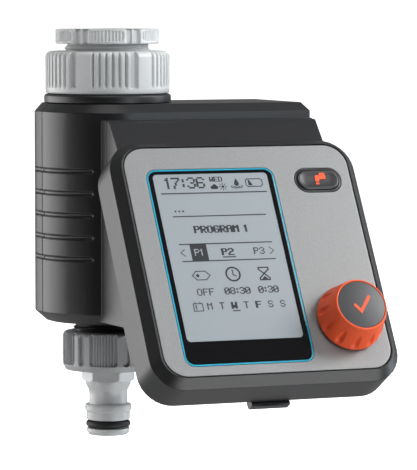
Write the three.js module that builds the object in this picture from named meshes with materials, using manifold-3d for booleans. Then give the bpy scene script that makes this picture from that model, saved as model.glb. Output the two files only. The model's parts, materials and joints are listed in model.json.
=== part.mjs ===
// Tap-mounted irrigation controller: a diaphragm valve in a column, hung from a tap by a union nut and
// a thread adaptor, with a hose nipple below it and a removable, tilted control unit in front.
// Millimetres, +Z up, front towards -Y. The origin is the centre of the adaptor's mouth, where the tap
// enters. The column's axis is the Z axis, so nearly every part lies below z = 0.

import * as THREE from 'three';
import { mergeVertices } from 'three/addons/utils/BufferGeometryUtils.js';
import Module from 'manifold-3d';

const wasm = await Module();
wasm.setup();

// ---------------------------------------------------------------- driving dimensions

const GAP = 0.3; // between pieces that touch
const BIG = 200; // longer than anything that it cuts
const ARC_STEPS = 4; // straight steps in one rounded corner

// Pipe threads: crest and root radius, and pitch.
const G1 = { crest: 16.6, root: 15.1, pitch: 2.309 };
const G34 = { crest: 13.2, root: 12.0, pitch: 1.814 };
const THREAD_ROWS = 3; // rows of vertices in one pitch

// Heights down the column axis.
const Z = {
  adaptorFlange: -5.5,
  nutTop: -8.3,
  adaptorEnd: -16,
  washerTop: -16.4,
  washerEnd: -18.3,
  tubeTop: -18.6,
  nutLip: -21,
  nutEnd: -24.1,
  collarTop: -24.4,
  housingTop: -27.7,
  plinthTop: -33.6,
  valve: -70,
  housingEnd: -109.8,
  outletNutTop: -114,
  threadEnd: -122,
  outletNutEnd: -128.5,
  tip: -153.5,
};

// Grip patterns, in degrees about Z, that each of the six sectors is turned by.
const ADAPTOR_PAD_TURN = -22;
const NUT_RIB_TURN = -7.5;
const OUTLET_WINDOW_TURN = -20.6;

// Housing, seen from above: a half-round column that runs on as a flat bar to the right.
const COLUMN_R = 26.4;
const BAR_RIGHT = 72;
const BACK_Y = 22;
const BACK_CORNER = 17;
const BAR_CORNER = 0.6;
const WALL = 2.4;
const TOP_CHAMFER = { inward: 2.75, deep: 3.2 };
const BOTTOM_CHAMFER = { inward: 4.3, deep: 3.8 };
const TUBE_R = 13.1; // outside of the valve tube
const TUBE_HOLE_R = 13.5;
const NECK_R = 9.9; // nipple where it passes through the outlet nut
const HEXAGON_R = 10.15; // nipple's spanner grip, across its corners
const HEAD_SEAT_Y = 7; // bottom of each counterbore in the back cover
const GROOVE_HEIGHTS = [-52.6, -60.9, -69, -77.3, -85.3];
const GROOVE_DEPTH = 0.8;
const GROOVE_FRONT_END = 235; // degrees about Z, where the grooves stop

// Cradle that carries the control unit.
const CRADLE_LEFT = -11.7;
const CRADLE_WALL = 2.2;
const PLINTH_Y = -28.6;
const CRADLE_TOP = -57;
const CRADLE_RIM_W = 18.2; // distances behind the panel's face
const CRADLE_FLOOR_W = 36;
const CRADLE_LOW_V = -25.3; // distance along the panel below its centre

// Control unit. u runs right, v up the tilted panel and w back from its face.
const PANEL_CENTRE = new THREE.Vector3(30.1, -71.95, -82.2);
const PANEL_TILT = THREE.MathUtils.degToRad(60); // turns the flat-lying panel up
const PLATE = { halfU: 44.4, halfV: 45.3, r: 8.3, thick: 1.2 };
const FRAME = { halfU: 48.7, halfV: 49.1, r: 12, deep: 17.6, bevelIn: 2.9, bevelDeep: 3.3 };
const WINDOW = { left: -36.5, right: 13.7, low: -41.5, high: 36.3, r: 3.8 };
const LCD = { left: -34.2, right: 11.1, low: -32.1, high: 34.5 };
const RECESS_W = 1.5; // floor of the recess that holds the face plate
const FRONT_WALL_W = 3.5;
const LEDGE_W = 14.6;
const BUTTON = { u: 31.1, v: 30.9, halfLength: 8.3, r: 3.9 };
const KNOB = { u: 30.2, v: -25.9, baseR: 12.7, topR: 9.9, low: 0.9, high: 13, dimples: 12 };
const UNIT_BACK_W = 33.5;
const ROOF = { top: -33.9, frontY: -30.9, endW: -8.8 }; // sloping top of the unit's rear box
const PLUG_V = 15;
const PCB_W = 8;
const UNIT_SCREW_U = 41.4;
const UNIT_SCREW_VS = [-40, 8];
const LATCH_U = 1.4;

// Valve parts lie along X at the valve height.
const VALVE_X = { seat: 19.5, bodyFace: 24, bonnet: 25.9, pilotWall: 31, bonnetEnd: 33.5, sleeveEnd: 57 };
const FLANGE_HALF = 18.5;
const BONNET_SCREW_AT = 15.2;

// ---------------------------------------------------------------- shape helpers

/** Signed volume of an indexed triangle mesh, used to turn an inside-out one round. */
function signedVolume(position, index) {
  const a = new THREE.Vector3();
  const b = new THREE.Vector3();
  const c = new THREE.Vector3();
  let volume = 0;
  for (let i = 0; i < index.length; i += 3) {
    a.fromBufferAttribute(position, index[i]);
    b.fromBufferAttribute(position, index[i + 1]);
    c.fromBufferAttribute(position, index[i + 2]);
    volume += a.dot(b.cross(c)) / 6;
  }
  return volume;
}

/** A solid that can be joined and cut, from a closed three.js geometry. */
function solid(geometry) {
  geometry.deleteAttribute('normal');
  geometry.deleteAttribute('uv');
  const merged = mergeVertices(geometry, 1e-4);
  const position = merged.attributes.position;
  const faces = [];
  for (let i = 0; i < merged.index.count; i += 3) {
    const [a, b, c] = [0, 1, 2].map((k) => merged.index.getX(i + k));
    if (a !== b && b !== c && c !== a) faces.push(a, b, c);
  }
  if (signedVolume(position, faces) < 0) faces.reverse();
  const vertProperties = new Float32Array(position.array);
  const triVerts = new Uint32Array(faces);
  return new wasm.Manifold(new wasm.Mesh({ numProp: 3, vertProperties, triVerts }));
}

/** The three.js geometry of a finished solid. */
function geometryOf(body) {
  const mesh = body.getMesh();
  const geometry = new THREE.BufferGeometry();
  geometry.setAttribute('position', new THREE.BufferAttribute(new Float32Array(mesh.vertProperties), 3));
  geometry.setIndex(new THREE.BufferAttribute(new Uint32Array(mesh.triVerts), 1));
  geometry.computeVertexNormals();
  return geometry;
}

const join = (first, ...others) => others.reduce((whole, part) => whole.add(part), first);
const cut = (first, ...others) => others.reduce((whole, part) => whole.subtract(part), first);

/** A box between two corners. */
function block(low, high) {
  const size = high.map((value, i) => value - low[i]);
  const centre = high.map((value, i) => (value + low[i]) / 2);
  return solid(new THREE.BoxGeometry(...size).translate(...centre));
}

/** A turned piece about Z from a closed outline of [radius, height] points. */
function turned(outline, segments = 16) {
  const points = [...outline, outline[0]].map(([r, z]) => new THREE.Vector2(r, z));
  return solid(new THREE.LatheGeometry(points, segments).rotateX(Math.PI / 2));
}

const rod = (r, low, high, segments = 16) => turned([[0, low], [r, low], [r, high], [0, high]], segments);
const ring = (rIn, rOut, low, high, segments = 16) =>
  turned([[rIn, low], [rOut, low], [rOut, high], [rIn, high]], segments);

/** Lays a piece turned about Z along X instead, so that its heights become x values. */
const alongX = (body) => body.rotate([0, 90, 0]);

/** Lays a piece turned about Z along Y instead, so that its heights become y values. */
const alongY = (body) => body.rotate([-90, 0, 0]);

/** An outline's corner points, without the near-doubles where its arcs and lines meet. */
function cornersOf(shape) {
  const points = shape.getPoints(ARC_STEPS);
  return points.filter((point, i) => point.distanceTo(points[(i + 1) % points.length]) > 1e-3);
}

/** A flat outline raised along Z between two heights. */
function raised(shape, low, high) {
  const settings = { depth: high - low, bevelEnabled: false };
  return solid(new THREE.ExtrudeGeometry(new THREE.Shape(cornersOf(shape)), settings).translate(0, 0, low));
}

/** A body through outlines at rising heights, given as [shape, z] pairs with matching corners. */
function lofted(layers) {
  const rings = layers.map(([shape, z]) => cornersOf(shape).map(({ x, y }) => [x, y, z]));
  const count = rings[0].length;
  const faces = [];
  for (let layer = 0; layer + 1 < rings.length; layer += 1) {
    for (let i = 0; i < count; i += 1) {
      const [here, next] = [layer * count + i, layer * count + ((i + 1) % count)];
      faces.push(here, next, next + count, here, next + count, here + count);
    }
  }
  const top = (rings.length - 1) * count;
  for (const [a, b, c] of THREE.ShapeUtils.triangulateShape(cornersOf(layers[0][0]), [])) {
    faces.push(a, c, b, top + a, top + b, top + c);
  }
  const geometry = new THREE.BufferGeometry();
  geometry.setAttribute('position', new THREE.Float32BufferAttribute(rings.flat(2), 3));
  geometry.setIndex(faces);
  return solid(geometry);
}

/** An outline of [y, z] points carried along X between two x values. */
function sideways(points, left, right) {
  const shape = new THREE.Shape(points.map(([y, z]) => new THREE.Vector2(y, z)));
  const geometry = new THREE.ExtrudeGeometry(shape, { depth: right - left, bevelEnabled: false });
  const turn = new THREE.Matrix4().makeBasis(
    new THREE.Vector3(0, 1, 0),
    new THREE.Vector3(0, 0, 1),
    new THREE.Vector3(1, 0, 0),
  );
  return solid(geometry.applyMatrix4(turn).translate(left, 0, 0));
}

/** A rectangle with round corners. */
function roundRect(left, low, right, high, r) {
  const shape = new THREE.Shape();
  shape.moveTo(left + r, low);
  shape.absarc(right - r, low + r, r, -Math.PI / 2, 0);
  shape.absarc(right - r, high - r, r, 0, Math.PI / 2);
  shape.absarc(left + r, high - r, r, Math.PI / 2, Math.PI);
  shape.absarc(left + r, low + r, r, Math.PI, 1.5 * Math.PI);
  return shape;
}

const centredRect = (halfU, halfV, r) => roundRect(-halfU, -halfV, halfU, halfV, r);
const windowRect = (grow) =>
  roundRect(WINDOW.left - grow, WINDOW.low - grow, WINDOW.right + grow, WINDOW.high + grow, WINDOW.r + grow);

/** A capsule outline round the manual button's place. */
function capsule(grow) {
  const r = BUTTON.r + grow;
  const half = BUTTON.halfLength + grow;
  return roundRect(BUTTON.u - half, BUTTON.v - r, BUTTON.u + half, BUTTON.v + r, r - 0.01);
}

/** A closed outline whose radius is a function of the position within each equal sector. */
function sectorOutline(sectors, radii) {
  const points = [];
  for (let s = 0; s < sectors; s += 1) {
    for (const [share, r] of radii) {
      const angle = ((s + share) / sectors) * 2 * Math.PI;
      points.push(new THREE.Vector2(r * Math.cos(angle), r * Math.sin(angle)));
    }
  }
  return new THREE.Shape(points);
}

/** Points [share, radius] of a zigzag of ribs between two shares of a sector. */
function ribs(from, to, count, rLow, rHigh) {
  const points = [];
  for (let i = 0; i <= 2 * count; i += 1) {
    points.push([from + ((to - from) * i) / (2 * count), i % 2 ? rHigh : rLow]);
  }
  return points;
}

/** A tube with a right-hand thread outside, fading out at both ends. */
function threadedTube(thread, bore, low, high, segments) {
  const rows = Math.ceil(((high - low) / thread.pitch) * THREAD_ROWS);
  const outline = [[bore, low]];
  for (let i = 0; i <= rows; i += 1) outline.push([thread.crest, low + ((high - low) * i) / rows]);
  outline.push([bore, high]);
  const points = [...outline, outline[0]].map(([r, z]) => new THREE.Vector2(r, z));
  const geometry = new THREE.LatheGeometry(points, segments).rotateX(Math.PI / 2);
  const position = geometry.attributes.position;
  for (let i = 0; i < position.count; i += 1) {
    const [x, y, z] = [position.getX(i), position.getY(i), position.getZ(i)];
    const r = Math.hypot(x, y);
    if (r < thread.crest - 0.01) continue;
    const turn = z / thread.pitch - Math.atan2(y, x) / (2 * Math.PI);
    const ridge = 1 - Math.abs(2 * (turn - Math.floor(turn)) - 1);
    const fade = Math.min(1, (z - low) / thread.pitch, (high - z) / thread.pitch);
    const scale = (thread.root + (thread.crest - thread.root) * ridge * fade) / r;
    position.setXY(i, x * scale, y * scale);
  }
  return solid(geometry);
}

/** The centre line of a coil spring that stands on z = 0. */
class Helix extends THREE.Curve {
  constructor(r, length, turns) {
    super();
    Object.assign(this, { r, length, turns });
  }

  getPoint(t, target = new THREE.Vector3()) {
    const angle = 2 * Math.PI * this.turns * t;
    return target.set(this.r * Math.cos(angle), this.r * Math.sin(angle), this.length * t);
  }
}

/** A round section of a wire or lead. */
function wireShape(r, sides) {
  const corner = (i) => [r * Math.cos((2 * Math.PI * i) / sides), r * Math.sin((2 * Math.PI * i) / sides)];
  return new THREE.Shape(Array.from({ length: sides }, (_, i) => new THREE.Vector2(...corner(i))));
}

/** A coil spring along Z whose wire stays between two heights. */
function coilSpring(r, wire, low, high, turns) {
  const extrudePath = new Helix(r, high - low - 2 * wire, turns);
  const settings = { steps: turns * 8, bevelEnabled: false, extrudePath };
  return solid(new THREE.ExtrudeGeometry(wireShape(wire, 4), settings).translate(0, 0, low + wire));
}

/** A pan-head screw about Z, its head above and its point below. */
function screw(headR, shankR, point, underHead, top) {
  const slot = block([-headR, -0.3, top - 0.5], [headR, 0.3, top + 1]);
  const outline = [
    [0, point],
    [shankR, point + shankR],
    [shankR, underHead],
    [headR, underHead],
    [headR, top],
    [0, top],
  ];
  return cut(turned(outline, 8), slot);
}

// ---------------------------------------------------------------- materials and scene graph

const MATERIALS = {
  lightPlastic: { color: 0xc6c8c8, roughness: 0.5, metalness: 0 },
  greyPlastic: { color: 0x8f9191, roughness: 0.5, metalness: 0 },
  darkPlastic: { color: 0x2e2e30, roughness: 0.45, metalness: 0 },
  blackPlastic: { color: 0x161617, roughness: 0.5, metalness: 0 },
  silverPlate: { color: 0xa6a8a8, roughness: 0.35, metalness: 0.7 },
  cyanTrim: { color: 0x00a0be, roughness: 0.3, metalness: 0 },
  blackGlass: { color: 0x121214, roughness: 0.08, metalness: 0 },
  lcdGrey: { color: 0xa9b0b8, roughness: 0.25, metalness: 0 },
  orangePlastic: { color: 0xf15a22, roughness: 0.55, metalness: 0 },
  capGrey: { color: 0x4b4b4d, roughness: 0.5, metalness: 0 },
  rubber: { color: 0x101010, roughness: 0.8, metalness: 0 },
  whitePlastic: { color: 0xe6e4dc, roughness: 0.5, metalness: 0 },
  steel: { color: 0xb8babc, roughness: 0.3, metalness: 1 },
  copper: { color: 0xb5652b, roughness: 0.4, metalness: 0.9 },
  board: { color: 0x1f5a35, roughness: 0.6, metalness: 0 },
};

const controller = new THREE.Group();
const controlUnit = new THREE.Group();
controlUnit.position.copy(PANEL_CENTRE);
controlUnit.rotation.x = PANEL_TILT;
controller.add(controlUnit);

function add(parent, name, body, material) {
  const mesh = new THREE.Mesh(geometryOf(body), new THREE.MeshStandardMaterial(MATERIALS[material]));
  mesh.name = name;
  parent.add(mesh);
}

/** World [y, z] of a panel point. */
function fromPanel(v, w) {
  const point = new THREE.Vector3(0, v, -w);
  point.applyAxisAngle(new THREE.Vector3(1, 0, 0), PANEL_TILT).add(PANEL_CENTRE);
  return [point.y, point.z];
}

/** Local [v, -w] of a world point on the panel's side view. */
function toPanel(y, z) {
  const point = new THREE.Vector3(PANEL_CENTRE.x, y, z).sub(PANEL_CENTRE);
  point.applyAxisAngle(new THREE.Vector3(1, 0, 0), -PANEL_TILT);
  return [point.y, point.z];
}

/** v where the vertical plane at y crosses the plane at depth w. */
function vAtY(y, w) {
  const [yAtZero] = fromPanel(0, w);
  return (y - yAtZero) / Math.cos(PANEL_TILT);
}

/** v where the level plane at z crosses the plane at depth w. */
function vAtZ(z, w) {
  const [, zAtZero] = fromPanel(0, w);
  return (z - zAtZero) / Math.sin(PANEL_TILT);
}

// ---------------------------------------------------------------- inlet

/** Tap adaptor: six grip pads round its flange, a male thread below and a socket for the tap. */
function inletAdaptor() {
  const pad = [
    [0.14, 18.5],
    [0.17, 19.6],
    [0.32, 19.8],
    [0.5, 19.8],
    [0.68, 19.8],
    [0.83, 19.6],
    [0.86, 18.5],
  ];
  const flange = raised(sectorOutline(6, pad), Z.adaptorFlange, 0).rotate([0, 0, ADAPTOR_PAD_TURN]);
  const edge = turned([[0, -6], [19.4, -6], [19.9, -5], [19.9, -1.2], [19, 0.01], [0, 0.01]], 24);
  const thread = threadedTube(G1, 6, Z.adaptorEnd, Z.adaptorFlange + 0.5, 20);
  const socket = rod(13.3, -13, 1);
  return cut(join(flange.intersect(edge), thread), socket, rod(9, -20, 1));
}

/** Union nut: six groups of upright ribs with a recess and a flat web between them. */
function inletNut() {
  const sector = [
    ...ribs(0, 0.6, 6, 21.9, 23.4),
    [0.64, 23.4],
    [0.65, 21.9],
    [0.77, 21.9],
    [0.79, 23.4],
    [0.98, 23.4],
  ];
  const grip = raised(sectorOutline(6, sector), Z.nutEnd + 1, Z.nutTop).rotate([0, 0, NUT_RIB_TURN]);
  const top = turned([[0, -30], [24, -30], [24, -10.6], [23.1, -9], [21.6, Z.nutTop], [0, Z.nutTop]], 24);
  const base = rod(23.4, Z.nutEnd, Z.nutEnd + 1.9, 30);
  const threadBore = rod(G1.crest + GAP, Z.nutLip, 0);
  return cut(join(grip.intersect(top), base), threadBore, rod(TUBE_HOLE_R, -30, 0));
}

/** Sieve in the inlet: a cup with slots in its wall. */
function inletFilter() {
  const outside = [[0, -31], [7, -31], [8.9, -20.6], [9.2, -20.2], [9.2, -19.2]];
  const inside = [[8, -19.2], [6, -30], [0, -30]];
  const slot = block([4, -1.2, -28.5], [12, 1.2, -22.5]);
  const slots = [0, 90, 180, 270].map((turn) => slot.rotate([0, 0, turn]));
  return cut(turned([...outside, ...inside]), ...slots);
}

// ---------------------------------------------------------------- valve

/** Valve body: inlet tube, side chamber with its seat, and the threaded outlet. */
function valveBody() {
  const tube = rod(TUBE_R, Z.housingEnd + 0.3, Z.tubeTop - 0.5);
  const rim = rod(15.8, Z.tubeTop - 2.1, Z.tubeTop);
  const outlet = threadedTube(G34, 4, Z.threadEnd, Z.housingEnd + 1, 16);
  const chamberShell = alongX(rod(17, 0, VALVE_X.bodyFace)).translate([0, 0, Z.valve]);
  const flange = block(
    [20, -FLANGE_HALF, Z.valve - FLANGE_HALF],
    [VALVE_X.bodyFace, FLANGE_HALF, Z.valve + FLANGE_HALF],
  );
  const chamber = alongX(ring(7.5, 14.5, 14, 30)).translate([0, 0, Z.valve]);
  const overSeat = alongX(rod(14.5, VALVE_X.seat, 30)).translate([0, 0, Z.valve]);
  const seatBore = alongX(rod(5.5, 0, 30)).translate([0, 0, Z.valve]);
  const inletPort = alongX(rod(3.2, 0, 20, 16)).translate([0, 0, Z.valve + 10.8]);
  const screwHoles = bonnetScrewPlaces().map(([y, z]) => alongX(rod(1.7, 18, 30, 12)).translate([0, y, z]));
  const upperBore = rod(9.5, Z.valve + 9, 0);
  const lowerBore = rod(5.5, -130, Z.valve, 24);
  return cut(
    join(tube, rim, outlet, chamberShell, flange),
    chamber,
    overSeat,
    seatBore,
    inletPort,
    upperBore,
    lowerBore,
    ...screwHoles,
  );
}

function bonnetScrewPlaces() {
  const d = BONNET_SCREW_AT;
  return [[-d, d], [d, d], [-d, -d], [d, -d]].map(([y, z]) => [y, Z.valve + z]);
}

/** Bonnet: clamps the diaphragm, and its sleeve guides the solenoid's plunger. */
function valveBonnet() {
  const flange = block(
    [VALVE_X.bonnet, -FLANGE_HALF, Z.valve - FLANGE_HALF],
    [VALVE_X.bonnet + 3.6, FLANGE_HALF, Z.valve + FLANGE_HALF],
  );
  const outside = [
    [0, VALVE_X.bonnet],
    [15, VALVE_X.bonnet],
    [15, VALVE_X.pilotWall],
    [12, VALVE_X.bonnetEnd],
    [5.4, VALVE_X.bonnetEnd],
    [5.4, VALVE_X.sleeveEnd],
    [0, VALVE_X.sleeveEnd],
  ];
  const inside = [
    [0, VALVE_X.bonnet - 1],
    [12, VALVE_X.bonnet - 1],
    [12, VALVE_X.pilotWall],
    [0.8, VALVE_X.pilotWall],
    [0.8, VALVE_X.bonnetEnd],
    [4.1, VALVE_X.bonnetEnd],
    [4.1, VALVE_X.sleeveEnd - 1],
    [0, VALVE_X.sleeveEnd - 1],
  ];
  const dome = alongX(turned(outside)).translate([0, 0, Z.valve]);
  const hollow = alongX(turned(inside)).translate([0, 0, Z.valve]);
  const holes = bonnetScrewPlaces().map(([y, z]) => alongX(rod(1.7, 20, 40, 12)).translate([0, y, z]));
  return cut(join(flange, dome), hollow, ...holes);
}

/** Yoke: a square iron loop round the coil. */
function solenoidYoke() {
  const outside = block([33.9, -13, Z.valve - 8], [55.4, 13, Z.valve + 8]);
  const inside = block([35, -11.5, Z.valve - 9], [53.3, 11.5, Z.valve + 9]);
  return cut(outside, inside, alongX(rod(5.8, 30, 60, 20)).translate([0, 0, Z.valve]));
}

function addValve() {
  const atValve = (body) => alongX(body).translate([0, 0, Z.valve]);
  add(controller, 'valve_body', valveBody(), 'blackPlastic');
  add(controller, 'diaphragm', atValve(ring(8.5, 16.5, 24.3, 25.6)), 'rubber');
  const disc = [[0, 19.8], [7.6, 19.8], [8.2, 20.4], [8.2, 22.4], [4.6, 23]];
  const stud = [[4.6, 25.2], [2.4, 25.2], [2.4, 26.8], [0, 26.8]];
  add(controller, 'valve_disc', atValve(turned([...disc, ...stud])), 'rubber');
  add(controller, 'diaphragm_spring', atValve(coilSpring(3.5, 0.4, 25.5, 30.8, 3)), 'steel');
  add(controller, 'valve_bonnet', valveBonnet(), 'greyPlastic');
  bonnetScrewPlaces().forEach(([y, z], i) => {
    const body = alongX(screw(2.8, 1.4, 20.5, 29.8, 31.8)).translate([0, y, z]);
    add(controller, `bonnet_screw_${i + 1}`, body, 'steel');
  });
  const nearFlange = [[5.7, 35.3], [11, 35.3], [11, 36.8], [10, 36.8]];
  const farFlange = [[10, 51.5], [11, 51.5], [11, 53], [5.7, 53]];
  add(controller, 'solenoid_coil', atValve(turned([...nearFlange, ...farFlange])), 'copper');
  add(controller, 'solenoid_yoke', solenoidYoke(), 'steel');
  const plunger = turned([[0, 33.8], [1.2, 33.8], [3.8, 35], [3.8, 49], [0, 49]], 24);
  add(controller, 'plunger', atValve(plunger), 'steel');
  add(controller, 'plunger_spring', atValve(coilSpring(2.6, 0.35, 49.3, 55.7, 4)), 'steel');
}

// ---------------------------------------------------------------- housing

/** The housing's outline seen from above, set in by a wall thickness. */
function housingOutline(inset) {
  const r = COLUMN_R - inset;
  const right = BAR_RIGHT - inset;
  const back = BACK_Y - inset;
  const shape = new THREE.Shape();
  shape.moveTo(0, -r);
  shape.lineTo(right - BAR_CORNER, -r);
  shape.absarc(right - BAR_CORNER, -r + BAR_CORNER, BAR_CORNER, -Math.PI / 2, 0);
  shape.absarc(right - BAR_CORNER, back - BAR_CORNER, BAR_CORNER, 0, Math.PI / 2);
  shape.absarc(-r + BACK_CORNER, back - BACK_CORNER, BACK_CORNER, Math.PI / 2, Math.PI);
  shape.lineTo(-r, 0);
  for (let angle = 192; angle < 270; angle += 12) {
    const turn = THREE.MathUtils.degToRad(angle);
    shape.lineTo(r * Math.cos(turn), r * Math.sin(turn));
  }
  return shape;
}

/** The closed block that both shells are cut from, chamfered at its top and bottom. */
const housingBlock = () =>
  lofted([
    [housingOutline(BOTTOM_CHAMFER.inward), Z.housingEnd],
    [housingOutline(0), Z.housingEnd + BOTTOM_CHAMFER.deep],
    [housingOutline(0), Z.housingTop - TOP_CHAMFER.deep],
    [housingOutline(TOP_CHAMFER.inward), Z.housingTop],
  ]);

const housingCavity = () => raised(housingOutline(WALL), Z.housingEnd + WALL + 1, Z.housingTop - WALL - 1);

/** V-shaped grooves round the column's left, and along the flat strip behind it. */
function grooves() {
  const [reach, half] = [COLUMN_R + 1, GROOVE_DEPTH + 1];
  const section = (r) => [[r - half, 0], [r, -half], [r + 1, -half], [r + 1, half], [r, half]];
  const round = turned(section(reach), 30);
  const turn = THREE.MathUtils.degToRad(GROOVE_FRONT_END);
  const far = [BIG * Math.cos(turn), BIG * Math.sin(turn)];
  const slice = new THREE.Shape([[0, 0], [-BIG, 0], [-BIG, far[1]], far].map((p) => new THREE.Vector2(...p)));
  const front = round.intersect(raised(slice, -5, 5));
  const strip = solid(new THREE.BoxGeometry(2 * half, 9, 2 * half).rotateY(Math.PI / 4));
  const back = strip.scale([Math.SQRT1_2, 1, Math.SQRT1_2]).translate([-reach, 4.2, 0]);
  const groove = join(front, back);
  return GROOVE_HEIGHTS.map((z) => groove.translate([0, 0, z]));
}

/** The side view of the plinth, the wedge under the cradle and the cradle's walls. */
function cradleOutline() {
  const top = fromPanel(vAtZ(CRADLE_TOP, CRADLE_RIM_W), CRADLE_RIM_W);
  return [
    [-WALL - 10, Z.plinthTop],
    [PLINTH_Y, Z.plinthTop],
    [PLINTH_Y, CRADLE_TOP],
    top,
    fromPanel(CRADLE_LOW_V, CRADLE_RIM_W),
    fromPanel(CRADLE_LOW_V, CRADLE_FLOOR_W),
    fromPanel(vAtZ(-108.5, CRADLE_FLOOR_W), CRADLE_FLOOR_W),
    [-WALL - 10, -108.5],
  ];
}

/** The space in the cradle that the control unit's rear fills. */
function cradlePocket() {
  const floor = CRADLE_FLOOR_W - CRADLE_WALL;
  const low = CRADLE_LOW_V + CRADLE_WALL;
  const outer = fromPanel(low, 0);
  return [
    fromPanel(vAtY(PLINTH_Y, floor), floor),
    fromPanel(low, floor),
    outer,
    [outer[0], -40],
    [PLINTH_Y, -40],
  ];
}

/** The hollow under the cradle's floor, open to the inside of the housing. */
function wedgeHollow() {
  const top = fromPanel(vAtZ(-82.5, CRADLE_FLOOR_W), CRADLE_FLOOR_W);
  const low = fromPanel(vAtZ(-106.2, CRADLE_FLOOR_W), CRADLE_FLOOR_W);
  return [[-20, -82.5], top, low, [-20, -106.2]];
}

const housingScrewPlaces = () => [[-19.5, -37], [66.5, -37], [-19.5, -100], [66.5, -100]];

/** Places something that is turned about Z at each housing screw, lying along Y. */
const atHousingScrews = (body) => housingScrewPlaces().map(([x, z]) => alongY(body).translate([x, 0, z]));

/** Front shell: column front, bar front, plinth, cradle and screw posts. */
function housingFront(whole, cavity) {
  const [left, right] = [CRADLE_LEFT, BAR_RIGHT];
  const cradle = sideways(cradleOutline(), left, right);
  const pocket = sideways(cradlePocket(), left + CRADLE_WALL, right - CRADLE_WALL);
  const hollow = sideways(wedgeHollow(), left + CRADLE_WALL, right - CRADLE_WALL);
  const posts = atHousingScrews(rod(3.4, -COLUMN_R, 0, 16)).map((post) => post.intersect(whole));
  const placedHole = inPanel(block([-8.3, PLUG_V - 4.3, -40], [8.3, PLUG_V + 4.3, -30]));
  const shell = cut(join(cut(join(whole, cradle), cavity, hollow), ...posts), pocket, placedHole);
  const holes = atHousingScrews(rod(1.7, -12, 1, 12));
  const behind = block([-BIG, -GAP / 2, -BIG], [BIG, BIG, BIG]);
  return cut(shell, rod(TUBE_HOLE_R, -BIG, 0), behind, ...holes, ...grooves());
}

/** Rear shell: the back cover, with counterbored posts for its screws. */
function housingRear(whole, cavity) {
  const posts = atHousingScrews(rod(4.3, 0, BACK_Y, 16)).map((post) => post.intersect(whole));
  const heads = atHousingScrews(rod(3.2, HEAD_SEAT_Y, BACK_Y + 10, 16));
  const holes = atHousingScrews(rod(1.7, -1, 10, 12));
  const ahead = block([-BIG, -BIG, -BIG], [BIG, GAP / 2, BIG]);
  const shell = join(cut(whole, cavity), ...posts);
  return cut(shell, rod(TUBE_HOLE_R, -BIG, 0), ahead, ...heads, ...holes, ...grooves());
}

/** Carries a solid made in the panel's own frame into the controller's frame. */
function inPanel(body) {
  return body.rotate([THREE.MathUtils.radToDeg(PANEL_TILT), 0, 0]).translate(PANEL_CENTRE.toArray());
}

/** The solenoid's lead, from the back of the contact socket to the coil. */
function solenoidLead() {
  const [y, z] = fromPanel(PLUG_V, 40.3);
  const route = new THREE.CatmullRomCurve3([
    new THREE.Vector3(PANEL_CENTRE.x, y, z),
    new THREE.Vector3(PANEL_CENTRE.x, y + 6, z - 4),
    new THREE.Vector3(36, -12, -97),
    new THREE.Vector3(43, -3, -92),
    new THREE.Vector3(44, 0, Z.valve - 11.4),
  ]);
  const settings = { steps: 16, bevelEnabled: false, extrudePath: route };
  return solid(new THREE.ExtrudeGeometry(wireShape(1.3, 8), settings));
}

function addHousing() {
  const whole = housingBlock();
  const cavity = housingCavity();
  add(controller, 'housing_front', housingFront(whole, cavity), 'darkPlastic');
  add(controller, 'housing_rear', housingRear(whole, cavity), 'darkPlastic');
  const [low, high] = [Z.housingTop + GAP, Z.collarTop];
  const collar = [[TUBE_HOLE_R, low], [23.9, low], [23.9, -25], [23.3, high], [TUBE_HOLE_R, high]];
  add(controller, 'collar_ring', turned(collar, 30), 'darkPlastic');
  atHousingScrews(screw(2.8, 1.4, -9.3, HEAD_SEAT_Y + GAP, HEAD_SEAT_Y + 2.3)).forEach((body, i) => {
    add(controller, `housing_screw_${i + 1}`, body, 'steel');
  });
  const recess = block([-6, PLUG_V - 2.3, -37.9], [6, PLUG_V + 2.3, -30]);
  const socket = block([-8, PLUG_V - 4, -40], [8, PLUG_V + 4, -34.1]);
  add(controlUnit, 'contact_socket', cut(socket, recess), 'blackPlastic');
  add(controller, 'solenoid_lead', solenoidLead(), 'rubber');
}

// ---------------------------------------------------------------- outlet

/** Swivel nut on the outlet: ribs sunk in six windows, with a slot between each two. */
function outletNut() {
  const sector = [
    [0, 17.1],
    [0.07, 17.1],
    [0.09, 16.2],
    ...ribs(0.11, 0.66, 4, 16.2, 16.8),
    [0.68, 16.2],
    [0.7, 17.1],
    [0.82, 17.1],
    [0.84, 16.2],
    [0.93, 16.2],
    [0.95, 17.1],
  ];
  const [top, end] = [Z.outletNutTop, Z.outletNutEnd];
  const grip = raised(sectorOutline(6, sector), end + 1, top - 0.8).rotate([0, 0, OUTLET_WINDOW_TURN]);
  const rim = turned([[12, top - 2.6], [16.8, top - 2.6], [16.8, top - 1], [15.9, top], [12, top]], 20);
  const base = turned([[12, -127], [17.1, -126.8], [17.1, -127.4], [16.3, end], [10, end], [10, -127]], 20);
  return cut(join(grip, rim, base), rod(G34.crest + GAP, -126.9, -100), rod(NECK_R + GAP, -140, -100));
}

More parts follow.
